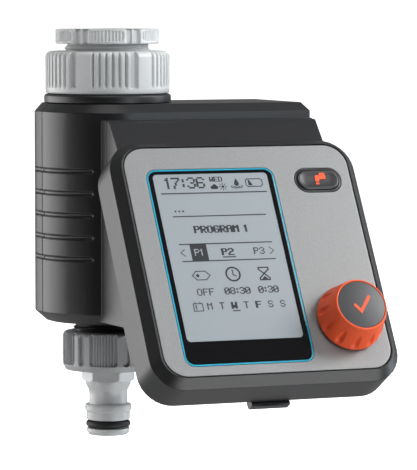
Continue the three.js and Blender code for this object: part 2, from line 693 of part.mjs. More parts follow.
/** Hose nipple: swivel flange, hexagon, flared neck, retaining flange and seal land. */
function outletNipple() {
  const outline = [
    [5, -124.6],
    [13, -124.6],
    [13, -126.6],
    [NECK_R, -126.6],
    [NECK_R, -128.9],
    [8.7, -128.9],
    [8.7, -133],
    [8.5, -134.2],
    [7.4, -136.6],
    [7.2, -138],
    [7.2, -141.8],
    [8.4, -141.8],
    [8.8, -142.4],
    [8.8, -144.2],
    [8.2, -144.7],
    [8.2, -147.7],
    [6.2, -147.7],
    [6.2, -151],
    [8.1, -151],
    [8.1, -152.6],
    [7.2, Z.tip],
    [5, Z.tip],
  ];
  const hexagon = rod(HEXAGON_R, -133, -128.9, 6);
  const chamfer = turned([[0, -134], [8.9, -133.1], [10.4, -131.8], [10.4, -128], [0, -128]]);
  return cut(join(turned(outline, 20), hexagon.intersect(chamfer)), rod(5, -160, -120, 20));
}

function addFittings() {
  add(controller, 'inlet_adaptor', inletAdaptor(), 'lightPlastic');
  add(controller, 'inlet_washer', ring(9.6, 14.8, Z.washerEnd, Z.washerTop), 'rubber');
  add(controller, 'inlet_nut', inletNut(), 'lightPlastic');
  add(controller, 'inlet_filter', inletFilter(), 'whitePlastic');
  add(controller, 'outlet_washer', ring(6, 12.9, -124.3, -122.3), 'rubber');
  add(controller, 'outlet_nut', outletNut(), 'greyPlastic');
  add(controller, 'outlet_nipple', outletNipple(), 'lightPlastic');
  const upper = [[6.5, -148.3], [7.2, -147.95], [8.1, -148.3], [8.45, -149.35]];
  const lower = [[8.1, -150.4], [7.2, -150.75], [6.5, -150.4]];
  add(controller, 'nipple_oring', turned([...upper, ...lower]), 'rubber');
}

// ---------------------------------------------------------------- control unit

/** Frame: bevelled tray whose front wall carries the face plate. */
function controlFrame() {
  const rim = (inward) => centredRect(FRAME.halfU - inward, FRAME.halfV - inward, FRAME.r - inward);
  const outside = lofted([
    [rim(0), -FRAME.deep],
    [rim(0), -FRAME.bevelDeep],
    [rim(FRAME.bevelIn), 0],
  ]);
  const plateRecess = raised(centredRect(PLATE.halfU + GAP, PLATE.halfV + GAP, PLATE.r), -RECESS_W, 5);
  const inside = raised(centredRect(43.4, 44.3, 8), -30, -FRONT_WALL_W);
  const coverRecess = raised(centredRect(45.4, 46.3, 9.5), -30, -LEDGE_W);
  const displayHole = block([LCD.left - 0.8, LCD.low - 0.8, -10], [LCD.right + 0.8, LCD.high + 0.8, 0]);
  const buttonHole = raised(capsule(0.4), -10, 0);
  const shaftHole = rod(4.7, -10, 0, 20).translate([KNOB.u, KNOB.v, 0]);
  const hollow = cut(outside, plateRecess, inside, coverRecess, displayHole, buttonHole, shaftHole);
  const posts = atUnitScrews(rod(2.8, -LEDGE_W + 0.2, -FRONT_WALL_W + 0.5, 12));
  const holes = atUnitScrews(rod(1.5, -20, -7, 12));
  return cut(join(hollow, ...posts), ...holes);
}

/** Places something that is turned about the panel's normal at each screw of the control unit. */
function atUnitScrews(body) {
  const places = UNIT_SCREW_VS.flatMap((v) => [[-UNIT_SCREW_U, v], [UNIT_SCREW_U, v]]);
  return places.map(([u, v]) => body.translate([u, v, 0]));
}

/** Side view of the unit's rear box, as local [v, -w] points, grown inwards by a wall. */
function rearBoxOutline(wall) {
  const back = PLINTH_Y - GAP - wall;
  const floor = UNIT_BACK_W - wall;
  const low = CRADLE_LOW_V + CRADLE_WALL + GAP + wall;
  return [
    toPanel(back, ROOF.top - wall * 1.5),
    toPanel(ROOF.frontY - wall * 0.35, ROOF.top - wall * 1.5),
    [FRAME.halfV + GAP + wall / 3, ROOF.endW - wall * 1.5],
    [FRAME.halfV + GAP + wall / 3, -FRAME.deep - GAP - wall / 4],
    [low, -FRAME.deep - GAP - wall / 4],
    [low, -floor],
    [vAtY(back, floor), -floor],
  ];
}

/** An outline of local [v, -w] points carried along u. */
const acrossPanel = (points, left, right) => sideways(points, left, right);

/** Rear cover: closing plate, sloping roof box, pocket for the battery and a channel for the latch. */
function unitRearCover() {
  const plate = raised(centredRect(45.1, 46, 9.2), -FRAME.deep, -FRAME.deep + 1.7);
  const half = (BAR_RIGHT - CRADLE_LEFT) / 2;
  const middle = (BAR_RIGHT + CRADLE_LEFT) / 2 - PANEL_CENTRE.x;
  const narrow = half - CRADLE_WALL - GAP;
  const rimLine = [toPanel(0, CRADLE_TOP + GAP), toPanel(-80, CRADLE_TOP + GAP)];
  const above = acrossPanel([...rimLine, toPanel(-80, 0), toPanel(0, 0)], -BIG, BIG);
  const box = acrossPanel(rearBoxOutline(0), middle - half, middle + half).intersect(above);
  const core = acrossPanel(rearBoxOutline(0), middle - narrow, middle + narrow);
  const bridge = block([-narrow, -22.8, -FRAME.deep - 0.5], [narrow, 44, -FRAME.deep + 0.5]);
  const upperBridge = block([-half + 0.5, 40, -FRAME.deep - 0.5], [half - 0.5, 43, -FRAME.deep + 0.5]);
  const plateau = block([-36, -46, -23], [25.4, -26, -FRAME.deep + 0.5]);
  const channel = block([LATCH_U - 8.6, -60, -FRAME.deep - 6], [LATCH_U + 8.6, -20, -FRAME.deep - 0.3]);
  const peg = block([LATCH_U - 1.2, -32.8, -22], [LATCH_U + 1.2, -31, -FRAME.deep]);
  const hollow = acrossPanel(rearBoxOutline(2), middle - narrow + 2, middle + narrow - 2);
  const opening = block([-narrow + 2, -20.8, -24], [narrow - 2, 40, -10]);
  const doorHole = block([-26.3, -20.3, -40], [26.3, 8.3, -28]);
  const plugHole = block([-6, PLUG_V - 2.3, -40], [6, PLUG_V + 2.3, -28]);
  const heads = atUnitScrews(rod(2.2, -30, -FRAME.deep + 1.2, 12)).map((head) => head.subtract(above));
  const shanks = atUnitScrews(rod(1.5, -30, 0, 12));
  const body = cut(join(plate, core, box, bridge, upperBridge, plateau), channel, hollow, opening);
  return cut(join(body, peg), doorHole, plugHole, ...heads, ...shanks);
}

/** Knob: a cone with finger dimples round its skirt, a recess for its cap and a bore for the shaft. */
function knobBody() {
  const { baseR, topR, low, high } = KNOB;
  const cone = turned([[0, low], [baseR, low], [baseR, low + 1], [topR, high], [0, high]], 30);
  const capSeat = rod(9.35, high - 2.1, high + 1, 24);
  const bore = rod(3.3, low - 1, 7.3, 16);
  const dimple = solid(new THREE.SphereGeometry(3.2, 5, 4).scale(0.55, 0.75, 1));
  const dimples = Array.from({ length: KNOB.dimples }, (_, i) =>
    dimple.translate([baseR + 0.2, 0, low + 4.2]).rotate([0, 0, (i * 360) / KNOB.dimples]),
  );
  return cut(cone, capSeat, bore, ...dimples);
}

/** A check mark with square ends, grown sideways by a clearance. */
function checkMark(grow) {
  const half = 0.62 + grow;
  const points = [[-2.5, -0.2], [-0.6, -2.6], [3.5, 2.9]];
  const strokes = [[0, 1], [1, 2]].map(([a, b]) => {
    const from = new THREE.Vector2(...points[a]);
    const along = new THREE.Vector2(...points[b]).sub(from);
    const length = along.length() + 2 * half;
    return block([-half, -half, 0], [length - half, half, 2])
      .rotate([0, 0, THREE.MathUtils.radToDeg(along.angle())])
      .translate([from.x, from.y, 0]);
  });
  return join(...strokes);
}

/** Latch: a sprung slide behind the frame's lower edge, with the thumb tab below it. */
function latch() {
  const arm = block([-6.6, -47, -21.6], [6.6, -27.2, -18.2]);
  const tab = sideways([[-51, -18.2], [-47, -18.2], [-47, -23.2], [-50, -23.2], [-51, -22.2]], -7.6, 7.6);
  const window = block([-1.7, -40, -30], [1.7, -30.6, 0]);
  return cut(join(arm, tab), window).translate([LATCH_U, 0, 0]);
}

function addControlUnit() {
  const plate = raised(centredRect(PLATE.halfU, PLATE.halfV, PLATE.r), -PLATE.thick, 0);
  const atKnob = (body) => body.translate([KNOB.u, KNOB.v, 0]);
  const facePlate = cut(
    plate,
    raised(windowRect(GAP), -5, 5),
    raised(capsule(1 + GAP), -5, 5),
    atKnob(rod(5, -5, 5, 24)),
  );
  add(controlUnit, 'control_frame', controlFrame(), 'darkPlastic');
  add(controlUnit, 'face_plate', facePlate, 'silverPlate');
  const trim = cut(raised(windowRect(0), -PLATE.thick, 0), raised(windowRect(-0.5), -5, 5));
  add(controlUnit, 'window_trim', trim, 'cyanTrim');
  add(controlUnit, 'display_window', raised(windowRect(-0.5 - GAP), -PLATE.thick, 0), 'blackGlass');
  const lcd = block([LCD.left, LCD.low, -5.4], [LCD.right, LCD.high, -RECESS_W]);
  add(controlUnit, 'lcd_module', lcd, 'lcdGrey');
  add(controlUnit, 'main_pcb', raised(centredRect(38, 40, 2), -PCB_W - 1.6, -PCB_W), 'board');

  const buttonRing = cut(raised(capsule(1), -PLATE.thick, -0.1), raised(capsule(0.3), -5, 5));
  add(controlUnit, 'button_ring', buttonRing, 'blackPlastic');
  const buttonFlange = raised(capsule(1), -4.6, -FRONT_WALL_W - GAP);
  const stem = lofted([[capsule(0), -4.6], [capsule(0), 0.1], [capsule(-0.5), 0.6]]);
  const button = join(stem, buttonFlange);
  add(controlUnit, 'manual_button', button, 'blackPlastic');
  const switchBody = join(block([-3, -3, -PCB_W + GAP], [3, 3, -6.2]), rod(1.7, -6.5, -5.7, 12));
  add(controlUnit, 'tact_switch', switchBody.translate([BUTTON.u, BUTTON.v, 0]), 'blackPlastic');

  const encoder = cut(block([-6.5, -6.5, -PCB_W + GAP], [6.5, 6.5, -3.9]), rod(4.7, -10, 0, 20));
  add(controlUnit, 'encoder_body', atKnob(encoder), 'blackPlastic');
  add(controlUnit, 'encoder_slider', atKnob(ring(3.3, 4.3, -6.6, 0.5, 24)), 'whitePlastic');
  add(controlUnit, 'encoder_shaft', atKnob(rod(3, -6.6, 7, 20)), 'steel');
  add(controlUnit, 'knob', atKnob(knobBody()), 'orangePlastic');
  const capTop = KNOB.high - 0.15;
  const markAt = (body) => body.translate([0, 0, capTop - 0.8]);
  const cap = cut(rod(9.05, KNOB.high - 1.8, capTop, 24), markAt(checkMark(GAP)));
  add(controlUnit, 'knob_cap', atKnob(cap), 'capGrey');
  const upToFace = block([-9, -9, 0], [9, 9, capTop + 0.1]);
  const mark = markAt(checkMark(0)).translate([0, 0, GAP]).intersect(upToFace);
  add(controlUnit, 'knob_mark', atKnob(mark), 'orangePlastic');

  add(controlUnit, 'unit_rear_cover', unitRearCover(), 'darkPlastic');
  const gasket = raised(centredRect(45, 45.9, 9.2), -15.5, -LEDGE_W - GAP);
  const insideGasket = raised(centredRect(43.7, 44.6, 8), -20, 0);
  add(controlUnit, 'unit_gasket', cut(gasket, insideGasket), 'rubber');
  atUnitScrews(screw(1.9, 1.2, 8, 16.6, 17.5).mirror([0, 0, 1])).forEach((body, i) => {
    add(controlUnit, `unit_screw_${i + 1}`, body, 'steel');
  });

  add(controlUnit, 'battery', block([-24.2, -19.6, -28.6], [24.2, 6.8, -11.2]), 'blackPlastic');
  add(controlUnit, 'battery_snap', block([24.6, -19.2, -27.6], [27.4, 6.4, -12.2]), 'blackPlastic');
  const door = block([-26, -20, -UNIT_BACK_W], [26, 8, -UNIT_BACK_W + 1.8]);
  add(controlUnit, 'battery_door', door, 'darkPlastic');
  add(controlUnit, 'contact_plug', block([-5.7, PLUG_V - 2, -37], [5.7, PLUG_V + 2, -29]), 'whitePlastic');
  add(controlUnit, 'latch', latch(), 'darkPlastic');
  const spring = coilSpring(0.9, 0.3, -39.6, -33.1, 5);
  const lying = spring.rotate([-90, 0, 0]).translate([LATCH_U, 0, -19.9]);
  add(controlUnit, 'latch_spring', lying, 'steel');
}

addFittings();
addValve();
addHousing();
addControlUnit();

export default controller;
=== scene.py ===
"""Looks for the tap-mounted irrigation controller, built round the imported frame.

Shapes are drawn in millimetres, either in the controller's own frame, where the column stands on the Z axis,
or in the panel's frame: x runs along the panel, y up it and z out of its face. Each is carried into metres
as its mesh is made.
"""

import json
from math import atan2, cos, degrees, floor, hypot, pi, radians, sin, tan

import bmesh
import bpy
from mathutils import Matrix, Vector

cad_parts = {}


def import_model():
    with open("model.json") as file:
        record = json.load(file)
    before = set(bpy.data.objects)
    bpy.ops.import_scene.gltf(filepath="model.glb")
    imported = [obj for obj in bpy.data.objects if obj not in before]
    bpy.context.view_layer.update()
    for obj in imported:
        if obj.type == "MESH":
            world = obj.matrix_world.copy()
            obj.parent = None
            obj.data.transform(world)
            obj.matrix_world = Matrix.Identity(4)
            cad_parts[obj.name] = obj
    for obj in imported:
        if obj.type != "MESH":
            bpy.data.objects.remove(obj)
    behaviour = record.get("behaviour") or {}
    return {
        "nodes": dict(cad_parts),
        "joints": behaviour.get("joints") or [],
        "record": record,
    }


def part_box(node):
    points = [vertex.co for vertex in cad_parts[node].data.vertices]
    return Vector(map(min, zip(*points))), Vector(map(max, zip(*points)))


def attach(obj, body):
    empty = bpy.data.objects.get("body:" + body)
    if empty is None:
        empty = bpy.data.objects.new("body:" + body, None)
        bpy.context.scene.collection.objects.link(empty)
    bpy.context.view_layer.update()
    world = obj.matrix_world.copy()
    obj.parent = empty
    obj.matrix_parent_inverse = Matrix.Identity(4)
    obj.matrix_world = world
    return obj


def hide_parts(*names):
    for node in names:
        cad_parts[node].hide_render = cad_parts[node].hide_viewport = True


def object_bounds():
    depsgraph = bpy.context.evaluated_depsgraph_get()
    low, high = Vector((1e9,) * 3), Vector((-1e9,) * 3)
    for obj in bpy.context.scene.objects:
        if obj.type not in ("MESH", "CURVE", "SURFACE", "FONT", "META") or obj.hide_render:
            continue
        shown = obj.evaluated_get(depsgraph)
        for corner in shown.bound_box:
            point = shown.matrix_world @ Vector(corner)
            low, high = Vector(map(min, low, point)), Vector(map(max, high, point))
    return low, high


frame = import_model()
CAD_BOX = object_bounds()

# ---------------------------------------------------------------- driving dimensions, in millimetres

MM = 0.001
GAP = 0.3
BIG = 200

COLUMN_R = 26.4
BAR_RIGHT = 72
BACK_Y = 22
BACK_CORNER = 17
BAR_CORNER = 0.6
WALL = 2.4
TUBE_HOLE_R = 13.5
HOUSING_TOP = -27.7
HOUSING_END = -109.8
TOP_CHAMFER = (2.75, 3.2)  # inwards, then down
BOTTOM_CHAMFER = (4.3, 3.8)
GROOVE_HEIGHTS = (-52.6, -60.9, -69, -77.3, -85.3)
GROOVE_R = 1.0
GROOVE_PROUD = 0.2
GROOVE_FRONT_END = 235
GROOVE_BACK_Y = 8.7

PLINTH_TOP = -33.6
PLINTH_Y = -28.6
CRADLE_LEFT = -11.7
CRADLE_WALL = 2.2
CRADLE_TOP = -57
CRADLE_RIM = -18.2
CRADLE_FLOOR = -36
CRADLE_LOW = -25.3
WEDGE_END = -108.5

PLATE = (44.4, 45.3, 8.3)  # half width, half height, corner radius, as for FRAME
PLATE_THICK = 1.2
FRAME = (48.7, 49.1, 12)
FRAME_DEEP = 17.6
BEVEL = (2.9, 3.6)
RECESS = -1.5
LEDGE = -14.6
WINDOW = (-36.5, -41.5, 13.7, 36.3)  # left, low, right and high, as for LCD
WINDOW_R = 3.8
LCD = (-34.2, -32.1, 11.1, 34.5)
LCD_R = 1.6
BUTTON = (31.1, 30.9)
BUTTON_HALF = (8.3, 3.9)
KNOB = (30.2, -25.9)
KNOB_LOW = 0.9
KNOB_HIGH = 13
KNOB_BASE_R = 12.7
KNOB_TOP_R = 9.9
DIMPLES = 12
UNIT_BACK = -33.5
ROOF = (-33.9, -30.9, -8.8)  # height, front y, and where the slope ends below the panel
PLUG_Y = 15
UNIT_SCREWS = [(-41.4, -40), (-41.4, 8), (41.4, -40), (41.4, 8)]
LATCH_X = 1.4
TAB_END = -50.3

# Pipe threads: crest radius, root radius, pitch.
G1 = (16.6, 15.1, 2.309)
G34 = (13.2, 12.0, 1.814)

WORLD = Matrix.Scale(MM, 4)

# Studio brightness.
FRONT_GLOW = 0.1
BACK_GLOW = 0.35
LOW_GLOW = 0.35
FLOOR_GLOW = 1.1
BACKDROP_GLOW = 1.1
STRIP_TINT = (0.85, 0.94, 1)

# Camera: lens in millimetres, place in metres, and the way it faces.
CAMERA_LENS = 252.8
CAMERA_PLACE = (-0.4514, -1.1609, 0.01075)
CAMERA_AHEAD = (0.3907, 0.9205)
CAMERA_DOWN = 4.07  # degrees below the level
FLOOR_BELOW = 50
FLOOR_HALF = 9000


def panel_matrix():
    """From panel millimetres to metres: z is the way the unit lifts off, and zero is the plate's face."""
    joint = next(row for row in frame["joints"] if row["name"] == "unit_lift_off")
    normal = Vector(joint["axis"])
    right = Vector((1, 0, 0))
    axes = Matrix((right, normal.cross(right), normal)).transposed()
    low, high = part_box("face_plate")
    face = (low + high) / 2 + normal * PLATE_THICK / 2 * MM
    return Matrix.Translation(face) @ axes.to_4x4() @ WORLD


PANEL = panel_matrix()

# ---------------------------------------------------------------- materials


def linear(colour):
    """The linear value of an sRGB colour given from 0 to 255."""
    shares = [value / 255 for value in colour]
    return [s / 12.92 if s <= 0.04045 else ((s + 0.055) / 1.055) ** 2.4 for s in shares] + [1]


def material(name, colour, roughness, metal=0, coat=0, vary=0.06, grain=0.12, size=2600, specular=0.5):
    """A finish whose colour and height vary with a fine noise. size is the number of grains in a metre."""
    made = bpy.data.materials.new(name)
    made.use_nodes = True
    nodes = made.node_tree.nodes
    link = made.node_tree.links.new
    shader = nodes["Principled BSDF"]
    place = nodes.new("ShaderNodeTexCoord").outputs["Object"]

    noise = nodes.new("ShaderNodeTexNoise")
    noise.inputs["Scale"].default_value = size
    noise.inputs["Detail"].default_value = 3
    link(place, noise.inputs["Vector"])

    ramp = nodes.new("ShaderNodeValToRGB")
    base = linear(colour)
    ramp.color_ramp.elements[0].position = 0.3
    ramp.color_ramp.elements[0].color = [value * (1 - vary) for value in base[:3]] + [1]
    ramp.color_ramp.elements[1].position = 0.7
    ramp.color_ramp.elements[1].color = [min(1, value * (1 + vary)) for value in base[:3]] + [1]
    link(noise.outputs["Fac"], ramp.inputs["Fac"])
    link(ramp.outputs["Color"], shader.inputs["Base Color"])

    wear = nodes.new("ShaderNodeMapRange")
    wear.inputs["To Min"].default_value = roughness * 0.92
    wear.inputs["To Max"].default_value = min(1, roughness * 1.08)
    link(noise.outputs["Fac"], wear.inputs["Value"])
    link(wear.outputs["Result"], shader.inputs["Roughness"])

    bump = nodes.new("ShaderNodeBump")
    bump.inputs["Strength"].default_value = grain
    bump.inputs["Distance"].default_value = 0.0001
    link(noise.outputs["Fac"], bump.inputs["Height"])
    link(bump.outputs["Normal"], shader.inputs["Normal"])

    shader.inputs["Metallic"].default_value = metal
    shader.inputs["Coat Weight"].default_value = coat
    shader.inputs["Coat Roughness"].default_value = 0.04
    shader.inputs["Specular IOR Level"].default_value = specular
    return made


FINISHES = {
    "light_plastic": material("light_plastic", (208, 209, 209), 0.34, grain=0.08),
    "grey_plastic": material("grey_plastic", (176, 177, 178), 0.38, grain=0.08),
    "dark_plastic": material("dark_plastic", (25, 25, 27), 0.4, vary=0.1, grain=0.25),
    "black_plastic": material("black_plastic", (50, 50, 52), 0.34, vary=0.1, grain=0.2),
    "silver_plate": material("silver_plate", (146, 147, 147), 0.42, metal=0.35, vary=0.1, grain=0.25),
    "cyan_trim": material("cyan_trim", (0, 176, 210), 0.3, vary=0.03, grain=0.05),
    "black_glass": material("black_glass", (16, 16, 18), 0.07, vary=0.05, grain=0.0, coat=0.5),
    "lcd_grey": material("lcd_grey", (160, 168, 173), 0.3, vary=0.015, grain=0.02, coat=0.3),
    "orange_plastic": material("orange_plastic", (244, 88, 34), 0.45, vary=0.04, grain=0.15),
    "cap_grey": material("cap_grey", (78, 78, 80), 0.35, metal=0.3, vary=0.05, grain=0.1),
    "rubber": material("rubber", (22, 22, 22), 0.6, vary=0.15, grain=0.3),
    "white_plastic": material("white_plastic", (228, 226, 220), 0.45),
    "steel": material("steel", (186, 188, 190), 0.28, metal=1, vary=0.08, grain=0.08),
    "copper": material("copper", (190, 110, 60), 0.35, metal=0.9, vary=0.12, grain=0.3, size=1800),
    "board": material("board", (26, 88, 52), 0.5, vary=0.12, size=900),
}
INK = material("lcd_ink", (40, 42, 46), 0.3, vary=0.02, grain=0.0, coat=0.3)

# ---------------------------------------------------------------- shape helpers


def new_piece(name, points, faces, place=WORLD):
    """A closed mesh from points in millimetres, with near-double points merged and faces turned outwards."""
    work = bmesh.new()
    corners = [work.verts.new(place @ Vector(point)) for point in points]
    for face in faces:
        work.faces.new([corners[i] for i in face])
    bmesh.ops.remove_doubles(work, verts=work.verts, dist=1e-7)
    bmesh.ops.recalc_face_normals(work, faces=work.faces)
    mesh = bpy.data.meshes.new(name)
    work.to_mesh(mesh)
    work.free()
    piece = bpy.data.objects.new(name, mesh)
    bpy.context.scene.collection.objects.link(piece)
    return piece


def through_rings(name, rings, place=WORLD, ends="capped"):
    """A body through rings with equal numbers of points. Its ends are capped, joined or left as points."""
    count = len(rings[0])
    rows = len(rings) if ends == "joined" else len(rings) - 1
    faces = []
    for row in range(rows):
        here = row * count
        above = (row + 1) % len(rings) * count
        for i in range(count):
            j = (i + 1) % count
            faces.append((here + i, here + j, above + j, above + i))
    if ends == "capped":
        last = (len(rings) - 1) * count
        faces.append(tuple(range(count - 1, -1, -1)))
        faces.append(tuple(range(last, last + count)))
    return new_piece(name, [point for ring in rings for point in ring], faces, place)


def rounded(points, r=0.3, closed=True, steps=3):
    """An outline with its corners rounded. A third number gives a corner a radius of its own."""
    result = []
    for i, point in enumerate(points):
        here = Vector(point[:2])
        radius = point[2] if len(point) > 2 else r
        back = Vector(points[i - 1][:2]) - here
        ahead = Vector(points[(i + 1) % len(points)][:2]) - here
        at_end = not closed and i in (0, len(points) - 1)
        half = back.angle(ahead) / 2
        if at_end or radius == 0 or pi / 2 - half < 0.02:
            result.append(tuple(here))
            continue
        reach = min(radius / tan(half), 0.48 * back.length, 0.48 * ahead.length)
        start = here + back.normalized() * reach
        end = here + ahead.normalized() * reach
        for step in range(steps + 1):
            t = step / steps
            result.append(tuple(start * (1 - t) ** 2 + here * 2 * t * (1 - t) + end * t * t))
    return result


def arc(x, y, r, start, end, steps):
    """Points on an arc between two angles in degrees."""
    angles = [radians(start + (end - start) * i / steps) for i in range(steps + 1)]
    return [(x + r * cos(angle), y + r * sin(angle)) for angle in angles]


def round_rect(left, low, right, high, r, steps=8):
    points = arc(right - r, low + r, r, -90, 0, steps)
    points += arc(right - r, high - r, r, 0, 90, steps)
    points += arc(left + r, high - r, r, 90, 180, steps)
    return points + arc(left + r, low + r, r, 180, 270, steps)


def centred(half, inset=0):
    """A rounded rectangle round the panel's centre from (half width, half height, corner radius)."""
    x, y, r = [value - inset for value in half]
    return round_rect(-x, -y, x, y, r)


def window(inset=0):
    left, low, right, high = WINDOW
    return round_rect(left + inset, low + inset, right - inset, high - inset, WINDOW_R - inset)


def display(inset=0):
    left, low, right, high = LCD
    return round_rect(left + inset, low + inset, right - inset, high - inset, LCD_R - inset)


def capsule(inset=0):
    """The manual button's outline, as long as it is at rest, less an inset."""
    x, y = BUTTON
    half, r = [value - inset for value in BUTTON_HALF]
    return round_rect(x - half, y - r, x + half, y + r, r - 0.01, 12)


def lofted(name, outline, profile, place=WORLD):
    """A body through one outline at several (inset, height) pairs, with flat ends."""
    rings = [[(x, y, height) for x, y in outline(inset)] for inset, height in profile]
    return through_rings(name, rings, place)


def raised(name, points, low, high, place=WORLD):
    """A flat outline raised between two heights."""
    return through_rings(name, [[(x, y, z) for x, y in points] for z in (low, high)], place)


def across(name, points, left, right, place=WORLD):
    """An outline of (y, z) points carried along X."""
    return through_rings(name, [[(x, y, z) for y, z in points] for x in (left, right)], place)


def block(name, low, high, place=WORLD):
    points = [(low[0], low[1]), (high[0], low[1]), (high[0], high[1]), (low[0], high[1])]
    return raised(name, points, low[2], high[2], place)


def turned(name, profile, shape=None, segments=72, place=WORLD, ends="joined"):
    """A piece turned about Z from (radius, height) points. shape(angle, radius, height) moves a point in or
    out where a third value marks its row."""
    rings = []
    for r, z, *marked in profile:
        angles = [2 * pi * i / segments for i in range(segments)]
        radii = [shape(angle, r, z) if marked else r for angle in angles]
        rings.append([(radius * cos(angle), radius * sin(angle), z) for angle, radius in zip(angles, radii)])
    return through_rings(name, rings, place, ends)


def rod(name, r, low, high, place=WORLD, segments=48):
    return turned(name, [(0, low), (r, low), (r, high), (0, high)], None, segments, place, "open")


def marked_rows(r, start, end, count):
    """Rows of a wall that a shape may move, from one height to another."""
    return [(r, start + (end - start) * i / count, True) for i in range(count + 1)]


def at(x, y, place=PANEL):
    """A place moved sideways in its own plane."""
    return place @ Matrix.Translation((x, y, 0))


def evaluated(piece):
    """Applies a piece's modifiers."""
    depsgraph = bpy.context.evaluated_depsgraph_get()
    mesh = bpy.data.meshes.new_from_object(piece.evaluated_get(depsgraph))
    piece.modifiers.clear()
    piece.data = mesh
    return piece


def combined(piece, others, operation):
    for other in others:
        modifier = piece.modifiers.new(operation, "BOOLEAN")
        modifier.operation = operation
        modifier.solver = "EXACT"
        modifier.object = other
    evaluated(piece)
    for other in others:
        bpy.data.objects.remove(other)
    return piece


def cut(piece, *others):
    return combined(piece, others, "DIFFERENCE")


def join(piece, *others):
    return combined(piece, others, "UNION")


def softened(piece, width=0.25, angle=32):
    """Rounds the sharp edges of a piece and keeps its flat faces flat."""
    work = bmesh.new()
    work.from_mesh(piece.data)
    bmesh.ops.remove_doubles(work, verts=work.verts, dist=2e-6)
    bmesh.ops.dissolve_degenerate(work, edges=work.edges, dist=2e-6)
    work.to_mesh(piece.data)
    work.free()
    bevel = piece.modifiers.new("bevel", "BEVEL")
    bevel.width = width * MM
    bevel.segments = 2
    bevel.limit_method = "ANGLE"
    bevel.angle_limit = radians(angle)
    bevel.use_clamp_overlap = False
    bevel.miter_outer = "MITER_ARC"
    piece.data.shade_smooth()
    piece.modifiers.new("weighted", "WEIGHTED_NORMAL").keep_sharp = True
    return evaluated(piece)


def dress(piece, body, slot, *nodes, angle=32):
    """Gives a piece its body, material slot and shading, and hides the CAD nodes that it stands for."""
    piece.data.materials.clear()
    piece.data.materials.append(FINISHES[slot])
    piece.data.shade_smooth()
    piece.data.set_sharp_from_angle(angle=radians(angle))
    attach(piece, body)
    if nodes:
        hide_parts(*nodes)
    return piece


def sector_angle(angle, centre, sectors=6):
    """How far an angle is from the nearest sector's centre, in degrees."""
    size = 360 / sectors
    return (degrees(angle) - centre + size / 2) % size - size / 2


def fade(value, low, high):
    """Goes smoothly from 0 at low to 1 at high."""
    t = min(1, max(0, (value - low) / (high - low)))
    return t * t * (3 - 2 * t)


def thread_radius(angle, z, thread, low, high, hand=1):
    """Radius of a pipe thread that fades out at both ends."""
    crest, root, pitch = thread
    turn = z / pitch - hand * angle / (2 * pi)
    ridge = 1 - abs(2 * (turn - floor(turn)) - 1)
    ends = min(1, max(0, min(z - low, high - z) / pitch))
    return root + (crest - root) * min(1, ridge * 1.15) * ends


# ---------------------------------------------------------------- inlet


def adaptor():
    """Tap adaptor: six ribbed pads round its flange, a male thread below and a threaded socket inside."""
    flange_r, flange_low, end = 19.8, -5.5, -16

    def shape(angle, r, z):
        if r < 14:
            return r + 0.9 * (thread_radius(angle, z, (1, 0, G34[2]), -12.4, -1.2))
        if z < flange_low:
            return thread_radius(angle, z, G1, end, flange_low)
        off = abs(sector_angle(angle, 8))
        notch = 1.3 * fade(off, 20.5, 22.5) - 0.9 * (1 - fade(30 - off, 0.8, 2.2))
        oval = (off / 19) ** 4 + ((z + 2.6) / 2.1) ** 4
        inside = 1 - fade(oval, 0.75, 1.1)
        dip = 0.45 * inside
        rib = 0.38 * (0.5 + 0.5 * cos(2 * pi * off / 3.8)) * inside
        return r - notch - dip + rib

    top_edge = [(19.0, 0), (19.35, -0.05, True), (19.65, -0.22, True), (19.78, -0.5, True)]
    low_edge = [(19.75, flange_low + 0.35, True), (19.5, flange_low + 0.08, True), (19.2, flange_low)]
    profile = [(13.3, 0), *top_edge, *marked_rows(flange_r, -0.8, flange_low + 0.7, 14), *low_edge]
    profile += [(15.1, flange_low), *marked_rows(15.1, flange_low - 0.01, end, 30)]
    profile += [(14.6, end), (9, end), (9, -13), (13.3, -13), *marked_rows(13.3, -12.5, -1, 36)]
    piece = turned("inlet_adaptor_form", profile, shape, 360)
    dress(piece, "adaptor", "light_plastic", "inlet_adaptor", angle=40)


def inlet_nut():
    """Union nut: six groups of V-grooves between upright ribs, each with a recess and a web beside it."""
    outer, top, end, flange, fillet = 23.4, -8.3, -24.1, 1.9, 2.3
    groove_pitch, groove_deep, recess_deep = 6.2, 1.6, 2.0

    def shape(angle, r, z):
        off = sector_angle(angle, 10.5)
        run_out = 1.6 * max(0, end + flange + 1.1 - z)
        from_middle = abs((off / groove_pitch) % 1 - 0.5)
        groove = groove_deep * (1 - from_middle / 0.27) * (abs(off) < 3 * groove_pitch)
        from_recess = off if off > 0 else off + 60
        recess = recess_deep * fade(from_recess, 19.2, 20.4) * (1 - fade(from_recess, 26.2, 28))
        return min(r, outer - max(0, groove - run_out) - recess * fade(z, end + flange, end + flange + 0.6))

    top_edge = [(*point, True) for point in arc(outer - fillet, top - fillet, fillet, 90, 0, 10)]
    low_edge = [(23.3, end + 0.4), (23.05, end + 0.1), (22.7, end)]
    wall = marked_rows(outer, top - fillet - 0.3, end + flange - 0.1, 30)
    profile = [(17.4, top), *top_edge, *wall, *low_edge, (TUBE_HOLE_R, end), (TUBE_HOLE_R, -21)]
    profile += [(16.9, -21), (16.9, top - 0.5)]
    piece = turned("inlet_nut_form", profile, shape, 720)
    dress(piece, "union_nut", "light_plastic", "inlet_nut", angle=50)


def collar():
    low, high = HOUSING_TOP + GAP, -24.4
    side = [(23.9, low, 0.2), (23.9, -25, 0.4), (23.3, high, 0.3)]
    profile = rounded([(TUBE_HOLE_R, low), *side, (TUBE_HOLE_R, high)])
    piece = turned("collar_ring_form", profile, None, 128)
    dress(piece, "housing", "dark_plastic", "collar_ring")


# ---------------------------------------------------------------- housing


